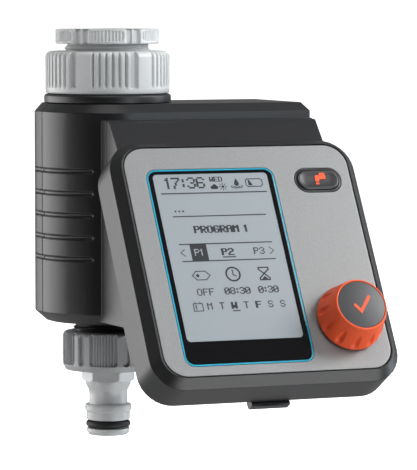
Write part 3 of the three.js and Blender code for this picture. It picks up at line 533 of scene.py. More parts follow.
def housing_outline(inset):
    """The housing seen from above: a half-round column that runs on as a flat bar to the right."""
    r = COLUMN_R - inset
    corner = max(BAR_CORNER - inset, 0.2)
    right, back = BAR_RIGHT - inset - corner, BACK_Y - inset - corner
    points = arc(right, -r + corner, corner, -90, 0, 3)
    points += arc(right, back, corner, 0, 90, 3)
    points += arc(BACK_CORNER - COLUMN_R, BACK_Y - BACK_CORNER, BACK_CORNER - inset, 90, 180, 12)
    return points + arc(0, 0, r, 180, 270, 30)


def housing_block(name):
    """The closed block that both shells are cut from."""
    inward, deep = TOP_CHAMFER
    low_inward, low_deep = BOTTOM_CHAMFER
    corners = [
        (low_inward + 1, HOUSING_END),
        (low_inward, HOUSING_END, 0.5),
        (0, HOUSING_END + low_deep, 0.8),
        (0, HOUSING_TOP - deep, 0.5),
        (inward, HOUSING_TOP, 0.4),
        (inward + 1, HOUSING_TOP),
    ]
    return lofted(name, housing_outline, rounded(corners, closed=False))


def groove(height):
    """The cutter of one groove: a bar along the flat strip and round the column, with round ends."""
    path_r = COLUMN_R + GROOVE_PROUD
    path = [(-path_r, GROOVE_BACK_Y), (-path_r, GROOVE_BACK_Y / 2)]
    path += arc(0, 0, path_r, 180, GROOVE_FRONT_END, 24)
    centres = []
    for i, point in enumerate(path):
        before = Vector(path[max(0, i - 1)])
        after = Vector(path[min(len(path) - 1, i + 1)])
        centres.append((Vector(point), (after - before).normalized(), GROOVE_R))
    ends = []
    for sign, (centre, along, r) in ((-1, centres[0]), (1, centres[-1])):
        turns = [radians(angle) for angle in (30, 60, 85)]
        ends.append([(centre + along * r * sin(turn) * sign, along, r * cos(turn)) for turn in turns])
    rings = []
    for centre, along, r in reversed(ends[0]):
        rings.append(groove_ring(centre, along, r, height))
    for centre, along, r in centres + ends[1]:
        rings.append(groove_ring(centre, along, r, height))
    return through_rings("groove", rings)


def groove_ring(centre, along, r, height):
    side = Vector((along.y, -along.x))
    angles = [2 * pi * i / 16 for i in range(16)]
    return [(*(centre + side * r * cos(angle)), height + r * sin(angle)) for angle in angles]


def from_panel(y, z):
    """(y, z) in the controller's frame of a panel point, in millimetres."""
    point = PANEL @ Vector((0, y, z)) / MM
    return point.y, point.z


def panel_y_at(plane_z, y=None, z=None):
    """Where a panel plane meets a given y or z of the controller."""
    here = from_panel(0, plane_z)
    ahead = from_panel(1, plane_z)
    k = 0 if z is None else 1
    return ((z if k else y) - here[k]) / (ahead[k] - here[k])


def to_panel(y, z):
    point = PANEL.inverted() @ (Vector((0, y, z)) * MM)
    return point.y, point.z


def cradle_outline():
    return rounded(
        [
            (-12, PLINTH_TOP),
            (PLINTH_Y, PLINTH_TOP, 0.6),
            (PLINTH_Y, CRADLE_TOP, 0),
            from_panel(panel_y_at(CRADLE_RIM, z=CRADLE_TOP), CRADLE_RIM),
            from_panel(CRADLE_LOW, CRADLE_RIM),
            (*from_panel(CRADLE_LOW, CRADLE_FLOOR), 2.5),
            from_panel(panel_y_at(CRADLE_FLOOR, z=WEDGE_END), CRADLE_FLOOR),
            (-12, WEDGE_END),
        ],
        0.4,
        steps=4,
    )


def cradle_pocket():
    floor = CRADLE_FLOOR + CRADLE_WALL
    low = CRADLE_LOW + CRADLE_WALL
    outer = from_panel(low, 0)
    corner = from_panel(panel_y_at(floor, y=PLINTH_Y), floor)
    return [corner, from_panel(low, floor), outer, (outer[0], -40), (PLINTH_Y, -40)]


def wedge_hollow():
    top, low = -82.5, -106.2
    return [
        (-20, top),
        from_panel(panel_y_at(CRADLE_FLOOR, z=top), CRADLE_FLOOR),
        from_panel(panel_y_at(CRADLE_FLOOR, z=low), CRADLE_FLOOR),
        (-20, low),
    ]


SCREW_PLACES = [(-19.5, -37), (66.5, -37), (-19.5, -100), (66.5, -100)]


def along_y(x, z):
    """A place where a piece's heights run along Y."""
    return WORLD @ Matrix.Translation((x, 0, z)) @ Matrix.Rotation(-pi / 2, 4, "X")


def housing_cavity():
    return raised("cavity", housing_outline(WALL), HOUSING_END + WALL + 1, HOUSING_TOP - WALL - 1)


def posts(r, low, high):
    """Screw posts between two values of y, trimmed to the housing's block."""
    made = [rod("post", r, low, high, along_y(x, z), 24) for x, z in SCREW_PLACES]
    return [combined(post, [housing_block("trim")], "INTERSECT") for post in made]


def drilled(r, low, high):
    return [rod("hole", r, low, high, along_y(x, z), 24) for x, z in SCREW_PLACES]


def housing_front():
    """Front shell: column and bar fronts, plinth, wedge and the cradle that carries the control unit."""
    shell = housing_block("housing_front_form")
    inner_left, inner_right = CRADLE_LEFT + CRADLE_WALL, BAR_RIGHT - CRADLE_WALL
    join(shell, across("cradle", cradle_outline(), CRADLE_LEFT, BAR_RIGHT))
    cut(shell, housing_cavity(), across("hollow", wedge_hollow(), inner_left, inner_right))
    join(shell, *posts(3.4, -COLUMN_R, 0))
    socket = block("socket", (-8.3, PLUG_Y - 4.3, -40), (8.3, PLUG_Y + 4.3, -30), PANEL)
    behind = block("behind", (-BIG, -GAP / 2, -BIG), (BIG, BIG, BIG))
    cut(shell, across("pocket", cradle_pocket(), inner_left, inner_right), socket)
    cut(shell, behind, rod("tube", TUBE_HOLE_R, -BIG, 0), *drilled(1.7, -12, 1))
    cut(shell, *[groove(height) for height in GROOVE_HEIGHTS])
    dress(softened(shell), "housing", "dark_plastic", "housing_front")


def housing_rear():
    """Rear shell: the back cover, with counterbored posts for its screws."""
    shell = housing_block("housing_rear_form")
    cut(shell, housing_cavity())
    join(shell, *posts(4.3, 0, BACK_Y))
    ahead = block("ahead", (-BIG, -BIG, -BIG), (BIG, GAP / 2, BIG))
    cut(shell, ahead, rod("tube", TUBE_HOLE_R, -BIG, 0))
    cut(shell, *drilled(3.2, 7, BACK_Y + 10), *drilled(1.7, -1, 10))
    cut(shell, *[groove(height) for height in GROOVE_HEIGHTS])
    dress(softened(shell), "housing", "dark_plastic", "housing_rear")


# ---------------------------------------------------------------- screws and plain parts


def screw_head(name, r, shank_r, point, under, top, place):
    """A pan-head screw with a cross recess."""
    shank = [(0, point, 0), (shank_r, point + shank_r), (shank_r, under)]
    head = rounded([*shank, (r, under), (r, top, 0.5)], 0.1)
    screw = turned(name, [*head, (0, top + 0.12)], None, 32, place, "open")
    reach, half = r * 0.6, 0.35
    slots = [((-reach, -half), (reach, half)), ((-half, -reach), (half, reach))]
    cross = [block("slot", (*low, top - 0.8), (*high, top + 1), place) for low, high in slots]
    return cut(screw, *cross)


def screws():
    for i, (x, z) in enumerate(SCREW_PLACES, 1):
        name = f"housing_screw_{i}"
        piece = screw_head(f"{name}_form", 2.8, 1.4, -9.28, 7.22, 9.2, along_y(x, z))
        dress(piece, "housing", "steel", name)
    for i, (x, y) in enumerate(UNIT_SCREWS, 1):
        name = f"unit_screw_{i}"
        place = at(x, y) @ Matrix.Rotation(pi, 4, "X")
        piece = screw_head(f"{name}_form", 1.9, 1.2, 8, 16.6, 17.38, place)
        dress(piece, "control_unit", "steel", name)


def cad_copy(node, flatten=False):
    """A welded copy of a CAD node. Flattening it joins faces that lie in one plane."""
    piece = bpy.data.objects.new(f"{node}_form", frame["nodes"][node].data.copy())
    bpy.context.scene.collection.objects.link(piece)
    work = bmesh.new()
    work.from_mesh(piece.data)
    bmesh.ops.remove_doubles(work, verts=work.verts, dist=1e-6)
    if flatten:
        bmesh.ops.dissolve_limit(work, angle_limit=radians(1), verts=work.verts, edges=work.edges)
    work.to_mesh(piece.data)
    work.free()
    return piece


def softened_copy(node, body, slot, width=0.3):
    """Stands for a plain CAD piece with a copy of it whose edges are rounded."""
    piece = cad_copy(node, flatten=True)
    dress(softened(piece, width), body, slot, node)


def plain_parts():
    softened_copy("battery_door", "control_unit", "dark_plastic", 0.4)
    softened_copy("battery", "control_unit", "black_plastic", 0.8)
    softened_copy("battery_snap", "control_unit", "black_plastic")
    softened_copy("contact_plug", "control_unit", "white_plastic")
    softened_copy("contact_socket", "housing", "black_plastic")


# ---------------------------------------------------------------- outlet


def outlet_nut():
    """Swivel nut: ribs sunk in six windows, with a round-ended slot between each two."""
    outer, top, end, fillet = 17.1, -114, -128.5, 1.6
    window_low, window_half, corner_r = -126.3, 5.5, 1.5
    rib_pitch, slot_middle, slot_reach = 3.75, -120.4, 4.5

    def shape(angle, r, z):
        off = sector_angle(angle, 2.5)
        from_middle = abs(off) / 180 * pi * outer
        below = max(0, window_low + corner_r - z)
        corner = hypot(max(0, from_middle - window_half + corner_r), below)
        in_window = 1 - fade(corner, corner_r - 0.3, corner_r)
        wave = 0.5 - 0.5 * cos(2 * pi * off / rib_pitch)
        rib = wave * (abs(off) < 4 * rib_pitch)
        from_slot = (30 - abs(off)) / 180 * pi * outer
        slot = hypot(from_slot, max(0, abs(z - slot_middle) - slot_reach))
        in_slot = 1 - fade(slot, 1.15, 1.45)
        return min(r, outer - in_window * (1.1 - 0.75 * rib) - in_slot * 1.2)

    top_edge = [(*point, True) for point in arc(outer - fillet, top - fillet, fillet, 90, 0, 8)]
    low_edge = [(16.9, end + 1.5), (16.4, end + 0.9), (16.3, end + 0.3), (16.0, end)]
    wall = marked_rows(outer, top - fillet - 0.2, end + 2.0, 44)
    profile = [(G34[0] + GAP, top), *top_edge, *wall, *low_edge, (10.2, end), (10.2, -126.9)]
    profile += [(G34[0] + GAP, -126.9)]
    piece = turned("outlet_nut_form", profile, shape, 540)
    dress(piece, "swivel_nut", "grey_plastic", "outlet_nut", angle=40)


def nipple():
    """Hose nipple: hexagon, flared neck, retaining flange, seal land and its O-ring's groove."""
    apothem, hex_top, hex_low, tip = 8.78, -128.9, -133, -153.5

    def shape(angle, r, z):
        off = radians(sector_angle(angle, 3))
        corner = 9.9 + 0.25 * (1 - abs(z - (hex_top + hex_low) / 2) / 2.1)
        return min(apothem / cos(off), corner, r)

    inside = [(5, -124.6), (12.9, -124.6), (13, -126.6), (9.9, -126.6), (9.9, hex_top)]
    hexagon = [(9.2, hex_top - 0.01, True), *marked_rows(12, hex_top - 0.5, hex_low + 0.5, 8)]
    hexagon += [(9.3, hex_low, True)]
    neck = rounded(
        [
            (8.7, hex_low, 0),
            (8.5, -134.2),
            (7.4, -136.6, 1.5),
            (7.2, -138, 1),
            (7.2, -141.8, 0.2),
            (8.5, -141.8, 0.3),
            (8.8, -142.5, 0.3),
            (8.8, -144.1, 0.3),
            (8.2, -144.7, 0.2),
            (8.2, -147.7, 0.15),
            (6.2, -147.7, 0),
            (6.2, -151, 0),
            (8.1, -151, 0.15),
            (8.1, -152.4, 0.4),
            (7.2, tip, 0.3),
            (5, tip, 0.3),
        ],
        0.5,
        closed=False,
    )
    piece = turned("outlet_nipple_form", inside + hexagon + neck, shape, 180)
    dress(piece, "nipple", "light_plastic", "outlet_nipple", angle=35)
    ring = [(6.35 + r, z) for r, z in arc(0.75, -149.35, 1.35, 0, 345, 23)]
    piece = turned("nipple_oring_form", [(max(6.3, r), z) for r, z in ring], None, 96)
    dress(piece, "nipple", "rubber", "nipple_oring")


def outlet_thread():
    """The valve body with a finely cut outlet thread in place of its plain one."""
    piece = cad_copy("valve_body")
    top, end = -109.0, -122
    cut(piece, block("off", (-20, -20, -130), (20, 20, top)))

    def shape(angle, r, z):
        return thread_radius(angle, z, G34, end, top - 0.6)

    rows = marked_rows(G34[0], top - 0.6, end, 44)
    profile = [(5.5, top - 0.02), (12, top - 0.02), *rows, (5.5, end)]
    join(piece, turned("thread", profile, shape, 96))
    dress(piece, "housing", "black_plastic", "valve_body", angle=40)


# ---------------------------------------------------------------- control unit


def control_frame():
    """Bevelled frame with a round rim, a recess for the plate and holes through its front wall."""
    inward, deep = BEVEL
    flank = [(1, -FRAME_DEEP), (0, -FRAME_DEEP, 0.4), (0, -deep, 0.5)]
    corners = [*flank, (inward, -0.3, 0.4), (inward + 0.3, 0, 0.2)]
    profile = rounded([*corners, (inward + 1, 0)], closed=False)
    piece = lofted("control_frame_form", lambda inset: centred(FRAME, inset), profile, PANEL)
    x, y, r = PLATE
    seat = raised("seat", centred((x + 0.4, y + 0.4, r + 0.2)), RECESS, 5, PANEL)
    inside = raised("inside", centred((43.4, 44.3, 8)), -30, -3.5, PANEL)
    rebate = raised("rebate", centred((45.4, 46.3, 9.5)), -30, LEDGE, PANEL)
    cut(piece, seat, inside, rebate)
    shown = raised("shown", display(-0.8), -10, 0, PANEL)
    pressed = raised("pressed", capsule(-0.4), -10, 0, PANEL)
    cut(piece, shown, pressed, rod("shaft", 4.7, -10, 0, at(*KNOB)))
    join(piece, *[rod("post", 2.8, LEDGE + 0.2, -3, at(u, v), 24) for u, v in UNIT_SCREWS])
    cut(piece, *[rod("hole", 1.5, -20, -7, at(u, v), 24) for u, v in UNIT_SCREWS])
    dress(softened(piece, 0.12, 50), "control_unit", "dark_plastic", "control_frame")


def face_plate():
    """Silver plate with its edges eased, cut for the window, the button and the knob."""
    edge = rounded([(0.5, -PLATE_THICK), (0, -PLATE_THICK, 0.1), (0, 0, 0.25), (0.6, 0)], closed=False)
    piece = lofted("face_plate_form", lambda inset: centred(PLATE, inset), edge, PANEL)
    hole = raised("hole", window(-0.25), -5, 5, PANEL)
    flare = rounded([(-1.1, -5), (-1.1, -0.3, 0.2), (-1.5, 0.2), (-1.5, 5)], closed=False)
    button_hole = lofted("button_hole", capsule, flare, PANEL)
    cut(piece, hole, button_hole, rod("shaft", 5, -5, 5, at(*KNOB)))
    dress(softened(piece, 0.08, 50), "control_unit", "silver_plate", "face_plate")


def display_parts():
    """Cyan trim, black glass and the grey display that shows through it."""
    edge = rounded([(0, -1.2), (0, 0, 0.12), (0.2, 0)], closed=False)
    trim = lofted("window_trim_form", window, edge, PANEL)
    cut(trim, raised("hole", window(0.5), -5, 5, PANEL))
    dress(trim, "control_unit", "cyan_trim", "window_trim")
    edge = rounded([(0.5, -1.2), (0.5, 0, 0.12), (0.8, 0)], closed=False)
    glass = lofted("display_window_form", window, edge, PANEL)
    cut(glass, raised("shown", display(0), -0.35, 5, PANEL))
    dress(glass, "control_unit", "black_glass", "display_window")
    pane = raised("lcd_pane", display(0.02), -0.34, -0.06, PANEL)
    dress(pane, "control_unit", "lcd_grey")


def button_parts():
    """Dark ring round the manual button, the dished button itself and its tap sign."""
    top = rounded([(-1, -1.2), (-1, -0.25, 0.2), (-0.6, -0.1, 0.2), (0.2, -0.1)], closed=False)
    ring = lofted("button_ring_form", capsule, top, PANEL)
    cut(ring, raised("hole", capsule(-0.3), -5, 5, PANEL))
    dress(ring, "control_unit", "black_plastic", "button_ring")
    side = [(-1, -4.6), (-1, -3.8), (0, -3.8), (0, 0.05), (0.06, 0.25), (0.25, 0.44), (0.55, 0.52)]
    dish = [(0.9, 0.5), (1.4, 0.4), (2, 0.3), (2.7, 0.22), (3.4, 0.2)]
    button = lofted("manual_button_form", capsule, side + dish, PANEL)
    dress(button, "button", "black_plastic", "manual_button")
    handle = [(31.5, 32.75), (32, 33.6), (34.1, 33.6), (34.1, 32.75)]
    spout = [(29.8, 32.0), (30.3, 32.6), (34.2, 32.6), (34.2, 31.0), (31.6, 31.0), (31.3, 30.1), (29.8, 30.1)]
    drop = [(29.9, 29.75), (30.9, 29.75), (31.3, 28.9), (29.8, 28.7)]
    for name, outline in (("handle", handle), ("spout", spout), ("drop", drop)):
        sign = raised(f"tap_sign_{name}", outline, 0.2, 0.5, PANEL)
        dress(sign, "button", "orange_plastic")


def knob_parts():
    """Knob with twelve teardrop dimples round its skirt, its cap and the check mark on it."""
    place = at(*KNOB)
    dimple_low, dimple_top, half_width, dimple_deep = 1.3, 8.2, 1.5, 1.1

    def shape(angle, r, z):
        share = (z - KNOB_LOW - dimple_low) / (dimple_top - dimple_low)
        off = abs(sector_angle(angle, -8, DIMPLES)) / 180 * pi * r
        if not 0 < share < 1:
            return r
        drop = min(1, share / 0.22) ** 0.5 * (1 - share) ** 0.6
        half = half_width * drop ** 0.6
        if off >= half:
            return r
        return r - dimple_deep * drop * (1 - (off / half) ** 2)

    def wall(z):
        return KNOB_BASE_R + (KNOB_TOP_R - KNOB_BASE_R) * (z - KNOB_LOW - 1) / (KNOB_HIGH - KNOB_LOW - 1)

    heights = [KNOB_LOW + 0.5 + (KNOB_HIGH - KNOB_LOW - 1.1) * i / 30 for i in range(31)]
    side = [(min(KNOB_BASE_R, wall(z)), z, True) for z in heights]
    foot = [(3.4, KNOB_LOW), (12.2, KNOB_LOW), (12.55, KNOB_LOW + 0.15)]
    rim = [(9.88, KNOB_HIGH - 0.25), (9.72, KNOB_HIGH - 0.06), (9.55, KNOB_HIGH), (9.3, KNOB_HIGH - 0.02)]
    seat = [(9.2, KNOB_HIGH - 0.12), (9.2, KNOB_HIGH - 2.1), (3.4, KNOB_HIGH - 2.1)]
    knob = turned("knob_form", foot + side + rim + seat, shape, 360, place)
    dress(knob, "knob", "orange_plastic", "knob", angle=45)
    cap_top = KNOB_HIGH - 0.15
    under = KNOB_HIGH - 1.8
    profile = rounded([(0, under), (9.12, under), (9.12, cap_top, 0.2), (0, cap_top)], closed=False)
    dress(turned("knob_cap_form", profile, None, 128, place, "open"), "knob", "cap_grey", "knob_cap")
    outline = stroke([(-2.5, -0.2), (-0.6, -2.6), (3.5, 2.9)], 0.62)
    mark = raised("knob_mark_form", outline, cap_top - 0.7, cap_top + 0.1, place)
    dress(mark, "knob", "orange_plastic", "knob_mark")


def stroke(points, half):
    """The outline of a bent stroke with round ends."""
    start, middle, end = [Vector(point) for point in points]
    first, second = (middle - start).normalized(), (end - middle).normalized()
    side, other = Vector((-first.y, first.x)) * half, Vector((-second.y, second.x)) * half
    bisector = (side + other).normalized()
    reach = half / bisector.dot(side.normalized())
    turn, turn_end = degrees(atan2(first.y, first.x)), degrees(atan2(second.y, second.x))
    outline = arc(start.x, start.y, half, turn + 90, turn + 270, 10)
    outline += [tuple(middle - bisector * reach)]
    outline += arc(end.x, end.y, half, turn_end - 90, turn_end + 90, 10)
    return outline + [tuple(middle + bisector * reach)]


def rear_box(wall):
    """Side view of the unit's rear box in the panel's frame, grown inwards by a wall."""
    back = PLINTH_Y - GAP - wall
    floor = UNIT_BACK + wall
    low = CRADLE_LOW + CRADLE_WALL + GAP + wall
    top, front_y, end = ROOF
    high = FRAME[1] + GAP + wall / 3
    return [
        to_panel(back, top - wall * 1.5),
        to_panel(front_y - wall * 0.35, top - wall * 1.5),
        (high, end - wall * 1.5),
        (high, -FRAME_DEEP - GAP - wall / 4),
        (low, -FRAME_DEEP - GAP - wall / 4),
        (low, floor),
        (panel_y_at(floor, y=back), floor),
    ]


def rear_cover():
    """Rear cover: closing plate, box with a sloping roof, plateau over the latch and its channel."""
    half = (BAR_RIGHT - CRADLE_LEFT) / 2
    middle = (BAR_RIGHT + CRADLE_LEFT) / 2 - (PANEL.translation.x / MM)
    narrow = half - CRADLE_WALL - GAP
    rim = [to_panel(0, CRADLE_TOP + GAP), to_panel(-80, CRADLE_TOP + GAP)]
    above_outline = [*rim, to_panel(-80, 0), to_panel(0, 0)]

    def above():
        return across("above", above_outline, -BIG, BIG, PANEL)

    outline = rear_box(0)
    soft = [outline[0], (*outline[1], 1.6), (*outline[2], 0.5), *outline[3:]]
    plate = [(0.6, -FRAME_DEEP), (0, -FRAME_DEEP, 0.3), (0, -FRAME_DEEP + 1.7)]
    plate = rounded(plate, closed=False)
    piece = lofted("unit_rear_cover_form", lambda i: centred((45.1, 46, 9.2), i), plate, PANEL)
    box = across("box", rounded(soft, 0.2, steps=6), middle - half, middle + half, PANEL)
    combined(box, [above()], "INTERSECT")
    core = across("core", rounded(soft, 0.2, steps=6), middle - narrow, middle + narrow, PANEL)
    under, over = -FRAME_DEEP - 0.5, -FRAME_DEEP + 0.5
    bridge = block("bridge", (-narrow, -22.8, under), (narrow, 44, over), PANEL)
    upper = block("upper", (-half + 0.5, 40, under), (half - 0.5, 43, over), PANEL)
    plateau = block("plateau", (-36, -46, -23), (25.4, -26, over), PANEL)
    join(piece, core, box, bridge, upper, plateau)
    near, far = LATCH_X - 8.6, LATCH_X + 8.6
    channel = block("channel", (near, -60, -FRAME_DEEP - 6), (far, -20, -FRAME_DEEP - 0.3), PANEL)
    hollow = across("hollow", rear_box(2), middle - narrow + 2, middle + narrow - 2, PANEL)
    opening = block("opening", (-narrow + 2, -20.8, -24), (narrow - 2, 40, -10), PANEL)
    cut(piece, channel, hollow, opening)
    door = block("door", (-26.3, -20.3, -40), (26.3, 8.3, -28), PANEL)
    plug = block("plug", (-6, PLUG_Y - 2.3, -40), (6, PLUG_Y + 2.3, -28), PANEL)
    cut(piece, door, plug)
    join(piece, block("peg", (-1.2, -32.8, -22), (1.2, -31, -FRAME_DEEP), at(LATCH_X, 0)))
    heads = [rod("head", 2.2, -30, -FRAME_DEEP + 1.2, at(u, v), 24) for u, v in UNIT_SCREWS]
    heads = [cut(head, above()) for head in heads]
    cut(piece, *heads, *[rod("shank", 1.5, -30, 0, at(u, v), 24) for u, v in UNIT_SCREWS])
    dress(softened(piece), "control_unit", "dark_plastic", "unit_rear_cover")


def latch():
    """Sprung slide behind the frame's lower edge, with the thumb tab below it."""
    arm = block("latch_form", (-6.6, -47, -21.6), (6.6, -27.2, -18.2), at(LATCH_X, 0))
    front, low = [(TAB_END, -18.2), (-47, -18.2, 0)], [(-47, -22.6, 0), (TAB_END + 1, -22.6, 0.8)]
    outline = rounded([*front, *low, (TAB_END, -21.6, 0.8)], 0.4)
    tab = across("tab", outline, -7.6, 7.6, at(LATCH_X, 0))
    join(arm, tab)
    cut(arm, block("slot", (-1.7, -40, -30), (1.7, -30.6, 0), at(LATCH_X, 0)))
    dress(softened(arm, 0.3), "latch", "dark_plastic", "latch")


# ---------------------------------------------------------------- what the display shows

FONT = {
    "0": ".###. #...# #..## #.#.# ##..# #...# .###.",
    "1": "..#.. .##.. ..#.. ..#.. ..#.. ..#.. ..#..",
    "2": ".###. #...# ....# ..##. .#... #.... #####",
    "3": ".###. #...# ....# ..##. ....# #...# .###.",
    "6": ".###. #...# #.... ####. #...# #...# .###.",
    "7": "##### ....# ...#. ..#.. ..#.. .#... .#...",
    "8": ".###. #...# #...# .###. #...# #...# .###.",
    ":": "..... ..#.. ..#.. ..... ..#.. ..#.. .....",
    "A": ".###. #...# #...# ##### #...# #...# #...#",
    "D": "####. #...# #...# #...# #...# #...# ####.",
    "E": "##### #.... #.... ####. #.... #.... #####",
    "F": "##### #.... #.... ####. #.... #.... #....",
    "G": ".###. #...# #.... #.### #...# #...# .###.",
    "M": "#...# ##.## #.#.# #...# #...# #...# #...#",
    "O": ".###. #...# #...# #...# #...# #...# .###.",
    "P": "####. #...# #...# ####. #.... #.... #....",
    "R": "####. #...# #...# ####. #.#.. #..#. #...#",
    "S": ".###. #...# #.... .###. ....# #...# .###.",
    "T": "##### ..#.. ..#.. ..#.. ..#.. ..#.. ..#..",
    "W": "#...# #...# #...# #.#.# #.#.# ##.## #...#",
}


class Drawing:
    """Flat figures on the panel, gathered into one thin piece."""

    def __init__(self, low, high):
        self.low, self.high = low, high
        self.points, self.faces = [], []

    def shape(self, outline):
        """Adds a filled outline."""
        first, count = len(self.points), len(outline)
        self.points += [(x, y, self.low) for x, y in outline] + [(x, y, self.high) for x, y in outline]
        self.faces.append([first + count + i for i in range(count)])
        self.faces.append([first + i for i in reversed(range(count))])
        for i in range(count):
            j = (i + 1) % count
            self.faces.append([first + i, first + j, first + count + j, first + count + i])

    def box(self, left, low, right, high):
        self.shape([(left, low), (right, low), (right, high), (left, high)])

    def line(self, *points, width=0.3):
        """Adds straight strokes from point to point."""
        for start, end in zip(points, points[1:]):
            along = (Vector(end) - Vector(start)).normalized() * width / 2
            side = Vector((-along.y, along.x))
            a, b = Vector(start) - along, Vector(end) + along
            self.shape([tuple(a - side), tuple(b - side), tuple(b + side), tuple(a + side)])

    def ring(self, x, y, r, width=0.3, squash=1, start=0, end=360):
        turns = arc(0, 0, r, start, end, 24)
        self.line(*[(x + a, y + b * squash) for a, b in turns], width=width)

    def text(self, words, x, y, height, bold=0, gap=0.9):
        """Adds dotted letters with their lower left corner at x, y. Rows of dots run into strokes."""
        dot = height / 7
        for letter in words:
            if letter in FONT:
                self.letter(letter, x, y, dot, bold)
            narrow = letter in ": 1"
            x += dot * ((3.2 if narrow else 5) + gap)

    def letter(self, letter, x, y, dot, bold):
        rows = FONT[letter].split()
        if letter in ":1":
            x -= dot
        for row, dots in enumerate(rows):
            base = y + (6 - row) * dot
            for column, shown in enumerate(dots):
                if shown == "#":
                    left = x + column * dot
                    self.box(left - bold, base, left + dot * 0.94 + bold, base + dot * 0.94)

    def piece(self, name, finish, slot):
        made = new_piece(name, self.points, self.faces, PANEL)
        dress(made, "control_unit", slot)
        made.data.materials[0] = finish


def top_row(ink):
    """Time, day, weather, soil moisture and battery."""
    ink.text("17:36", -29.8, 28.6, 4.6, bold=0.1, gap=0.55)
    ink.text("WED", -12.1, 31.2, 2.0, bold=0.12, gap=1.1)
    ink.shape(round_rect(-12.3, 28.2, -9.3, 29.5, 0.6))
    ink.shape(arc(-10.7, 29.4, 0.75, 0, 360, 16)[:-1])
    ink.shape(arc(-7.4, 29.1, 0.55, 0, 360, 16)[:-1])
    for i in range(8):
        turn = radians(45 * i)
        inner, outer = [(-7.4 + r * cos(turn), 29.1 + r * sin(turn)) for r in (0.95, 1.5)]
        ink.line(inner, outer, width=0.26)
    ink.shape([(-1.8, 32.3), (-2.4, 31.3), *arc(-1.8, 30.2, 0.95, 160, 380, 12), (-1.2, 31.3)])
    ink.ring(-1.85, 29, 2.2, 0.28, 0.28, -215, 35)
    ink.ring(-1.85, 29.1, 1.2, 0.25, 0.28, -190, 10)
    right = [(2.6, 32), (7.7, 32), (8.5, 31.4), (8.5, 29.6), (7.7, 28.9)]
    ink.line(*right, (2.6, 28.9), (2, 29.6), (2, 31.4), (2.6, 32), width=0.36)
    ink.shape([(2.9, 31.6), (2.9, 29.4), (4.6, 29.4), (3.4, 31.6)])
    ink.line((-32, 26.7), (9.4, 26.7), width=0.46)


def program_rows(ink, light):
    """The program's name and the row that selects it."""
    for x in (-28.1, -26.6, -25.1):
        ink.shape(arc(x, 19.5, 0.38, 0, 360, 12)[:-1])
    for y in (17.4, 6.25, -0.55):
        ink.line((-29.3, y), (6.9, y), width=0.42)
    ink.text("PROGRAM 1", -22.3, 10.6, 2.9, bold=0.24, gap=1.15)
    ink.line((-27.8, 4.2), (-29.4, 2.85), (-27.8, 1.5), width=0.28)
    ink.line((5.4, 4.2), (7, 2.85), (5.4, 1.5), width=0.28)
    ink.box(-25.5, -0.5, -19.05, 6.2)
    light.text("P1", -24.1, 1.6, 2.7, bold=0.02)
    ink.text("P2", -13.4, 1.45, 2.8, bold=0.26, gap=1.3)
    ink.line((-13.3, 0.75), (-8.5, 0.75), width=0.42)
    ink.text("P3", -0.9, 1.5, 2.7, bold=0.06)


def icon_rows(ink):
    """Hose, clock and hourglass, with their values below."""
    upper = [(-26.9, -6.3), (-25.3, -4.6), (-21.7, -4.6), (-20, -6.3)]
    ink.line(*upper, (-21.7, -8), (-25.3, -8), (-26.9, -6.3), width=0.34)
    ink.shape([(-24.8, -5.5), (-24, -6.3), (-24.8, -7.1), (-25.6, -6.3)])
    ink.ring(-11, -6.15, 2.65, 0.6)
    ink.line((-11, -4.6), (-11, -6.4), (-10, -6.9), width=0.42)
    ink.line((-0.7, -3.9), (3.1, -3.9), (3.1, -4.7), (1.2, -6.3), (-0.7, -4.7), (-0.7, -3.9), width=0.5)
    ink.line((-0.7, -8.8), (3.1, -8.8), (3.1, -8.1), (1.2, -6.3), (-0.7, -8.1), (-0.7, -8.8), width=0.5)
    ink.shape([(-0.3, -8.8), (2.7, -8.8), (1.2, -7.3)])
    ink.text("OFF", -26.4, -14.2, 2.75, bold=0.04, gap=0.9)
    ink.text("08:30", -15.7, -14.1, 2.75, bold=0.1, gap=0.6)
    ink.text("0:30", -2.4, -14.0, 2.75, bold=0.1, gap=0.6)


def weekday_row(ink):
    ink.line((-28.9, -17.3), (-25.4, -17.3), (-25.4, -20.2), (-28.9, -20.2), (-28.9, -17.3), width=0.32)
    for x in (-28.1, -26.2):
        ink.line((x, -17.1), (x, -16.7), width=0.32)
    ink.text("1", -28.3, -19.7, 1.9, bold=0.06)
    days = ("M", "T", "W", "T", "F", "S", "S")
    for i, letter in enumerate(days):
        bold = 0.26 if i in (2, 4) else 0.05
        ink.text(letter, -23.6 + 4.75 * i, -19.8, 2.7, bold=bold)
    ink.line((-13.9, -20.6), (-11.4, -20.6), width=0.42)


def display_figures():
    ink = Drawing(-0.07, -0.03)
    light = Drawing(-0.06, -0.015)
    top_row(ink)
    program_rows(ink, light)
    icon_rows(ink)
    weekday_row(ink)
    ink.piece("lcd_figures", INK, "black_glass")
    light.piece("lcd_figures_light", FINISHES["lcd_grey"], "lcd_grey")


# ---------------------------------------------------------------- camera, floor and light


def look(obj, place, target):
    """Puts an object at a place, facing a target along its own -Z."""
    place, target = Vector(place), Vector(target)
    turn = (target - place).to_track_quat("-Z", "Y").to_matrix().to_4x4()
    obj.matrix_world = Matrix.Translation(place) @ turn


def camera():
    data = bpy.data.cameras.new("camera")
    data.sensor_width = 36
    data.lens = CAMERA_LENS
    data.clip_end = 20
    seen = bpy.data.objects.new("camera", data)
    bpy.context.scene.collection.objects.link(seen)
    place = Vector(CAMERA_PLACE)
    down = tan(radians(CAMERA_DOWN))
    look(seen, place, place + Vector((*CAMERA_AHEAD, -down)))
    bpy.context.scene.camera = seen


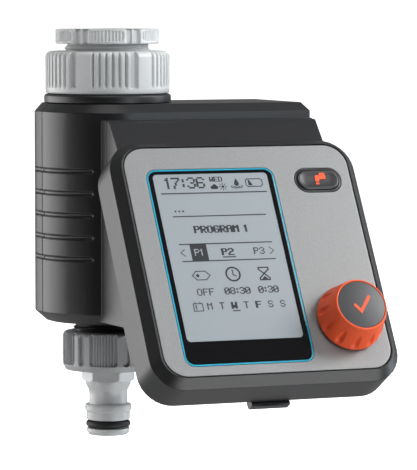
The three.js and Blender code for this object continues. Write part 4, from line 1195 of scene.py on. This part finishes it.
def sweep():
    """A pale sweep below the hanging controller, bright enough to stay plain white."""
    made = bpy.data.materials.new("floor")
    made.use_nodes = True
    shader = made.node_tree.nodes["Principled BSDF"]
    shader.inputs["Base Color"].default_value = (0.9, 0.9, 0.9, 1)
    shader.inputs["Roughness"].default_value = 1
    shader.inputs["Emission Color"].default_value = (1, 1, 1, 1)
    shader.inputs["Emission Strength"].default_value = FLOOR_GLOW
    low = CAD_BOX[0][2] / MM - FLOOR_BELOW
    signs = [(-1, -1), (1, -1), (1, 1), (-1, 1)]
    corners = [(x * FLOOR_HALF, y * FLOOR_HALF, low) for x, y in signs]
    plane = new_piece("floor", corners, [(0, 1, 2, 3)])
    plane.data.materials.append(made)
    plane.visible_diffuse = False
    plane.visible_glossy = False


def softbox(name, azimuth, height, away, size, radiance, tint=(1, 1, 1)):
    """A rectangular lamp round the controller, at angles in degrees from +X and above the level."""
    turn, rise = radians(azimuth), radians(height)
    middle = (CAD_BOX[0] + CAD_BOX[1]) / 2
    data = bpy.data.lights.new(name, "AREA")
    data.shape = "RECTANGLE"
    data.size, data.size_y = size
    data.energy = radiance * pi * size[0] * size[1]
    data.color = tint
    lamp = bpy.data.objects.new(name, data)
    bpy.context.scene.collection.objects.link(lamp)
    place = middle + Vector((cos(turn) * cos(rise), sin(turn) * cos(rise), sin(rise))) * away
    look(lamp, place, middle)
    lamp.visible_camera = False


def smooth_range(nodes, start, end, first, last):
    """A node that goes smoothly from first to last as its value goes from start to end."""
    made = nodes.new("ShaderNodeMapRange")
    made.interpolation_type = "SMOOTHSTEP"
    made.inputs["From Min"].default_value = start
    made.inputs["From Max"].default_value = end
    made.inputs["To Min"].default_value = first
    made.inputs["To Max"].default_value = last
    return made


def world():
    """White where the camera looks. Other rays see a studio that is dim on the camera's side, lighter
    behind the controller and lightest below it."""
    made = bpy.data.worlds.new("studio")
    made.use_nodes = True
    nodes = made.node_tree.nodes
    link = made.node_tree.links.new
    path = nodes.new("ShaderNodeLightPath")
    direction = nodes.new("ShaderNodeTexCoord")
    parts = nodes.new("ShaderNodeSeparateXYZ")
    towards_back = smooth_range(nodes, -0.15, 0.5, FRONT_GLOW, BACK_GLOW)
    below = smooth_range(nodes, -0.15, -0.75, 0, LOW_GLOW)
    both = nodes.new("ShaderNodeMath")
    dim = nodes["Background"]
    dim.inputs["Color"].default_value = (0.97, 0.98, 1, 1)
    seen = nodes.new("ShaderNodeBackground")
    seen.inputs["Color"].default_value = (1, 1, 1, 1)
    seen.inputs["Strength"].default_value = BACKDROP_GLOW
    mix = nodes.new("ShaderNodeMixShader")
    link(direction.outputs["Generated"], parts.inputs["Vector"])
    link(parts.outputs["Y"], towards_back.inputs["Value"])
    link(parts.outputs["Z"], below.inputs["Value"])
    link(towards_back.outputs["Result"], both.inputs[0])
    link(below.outputs["Result"], both.inputs[1])
    link(both.outputs["Value"], dim.inputs["Strength"])
    link(path.outputs["Is Camera Ray"], mix.inputs["Fac"])
    link(dim.outputs["Background"], mix.inputs[1])
    link(seen.outputs["Background"], mix.inputs[2])
    link(mix.outputs["Shader"], nodes["World Output"].inputs["Surface"])
    bpy.context.scene.world = made


def lights():
    softbox("left_box", 141, 0, 1.2, (1.35, 0.75), 3.5)
    softbox("key_box", 333, 33, 1.5, (0.8, 0.8), 9.0)
    softbox("front_strip", 291, -2, 1.4, (0.32, 1.5), 4.5, STRIP_TINT)
    softbox("right_strip", 357, 2, 1.3, (0.3, 1.4), 7.0, STRIP_TINT)
    softbox("top_fill", 250, 62, 1.4, (0.8, 0.8), 3.5)
    softbox("low_box", 293, -38, 1.3, (1.2, 0.7), 3.9)
    softbox("low_left", 190, -28, 1.2, (0.7, 0.6), 2.6)


def stage():
    camera()
    sweep()
    world()
    lights()
    bpy.context.scene.view_settings.view_transform = "Standard"


# ---------------------------------------------------------------- the controller


def inner_nodes():
    """The CAD nodes that stay take the procedural finish of their slot."""
    for row in frame["record"]["subparts"]:
        node = frame["nodes"][row["node"]]
        node.data.materials.clear()
        node.data.materials.append(FINISHES[row["material_slot"]])


stage()
inner_nodes()
adaptor()
inlet_nut()
collar()
housing_front()
housing_rear()
outlet_nut()
nipple()
outlet_thread()
control_frame()
face_plate()
display_parts()
button_parts()
knob_parts()
rear_cover()
latch()
screws()
plain_parts()
display_figures()
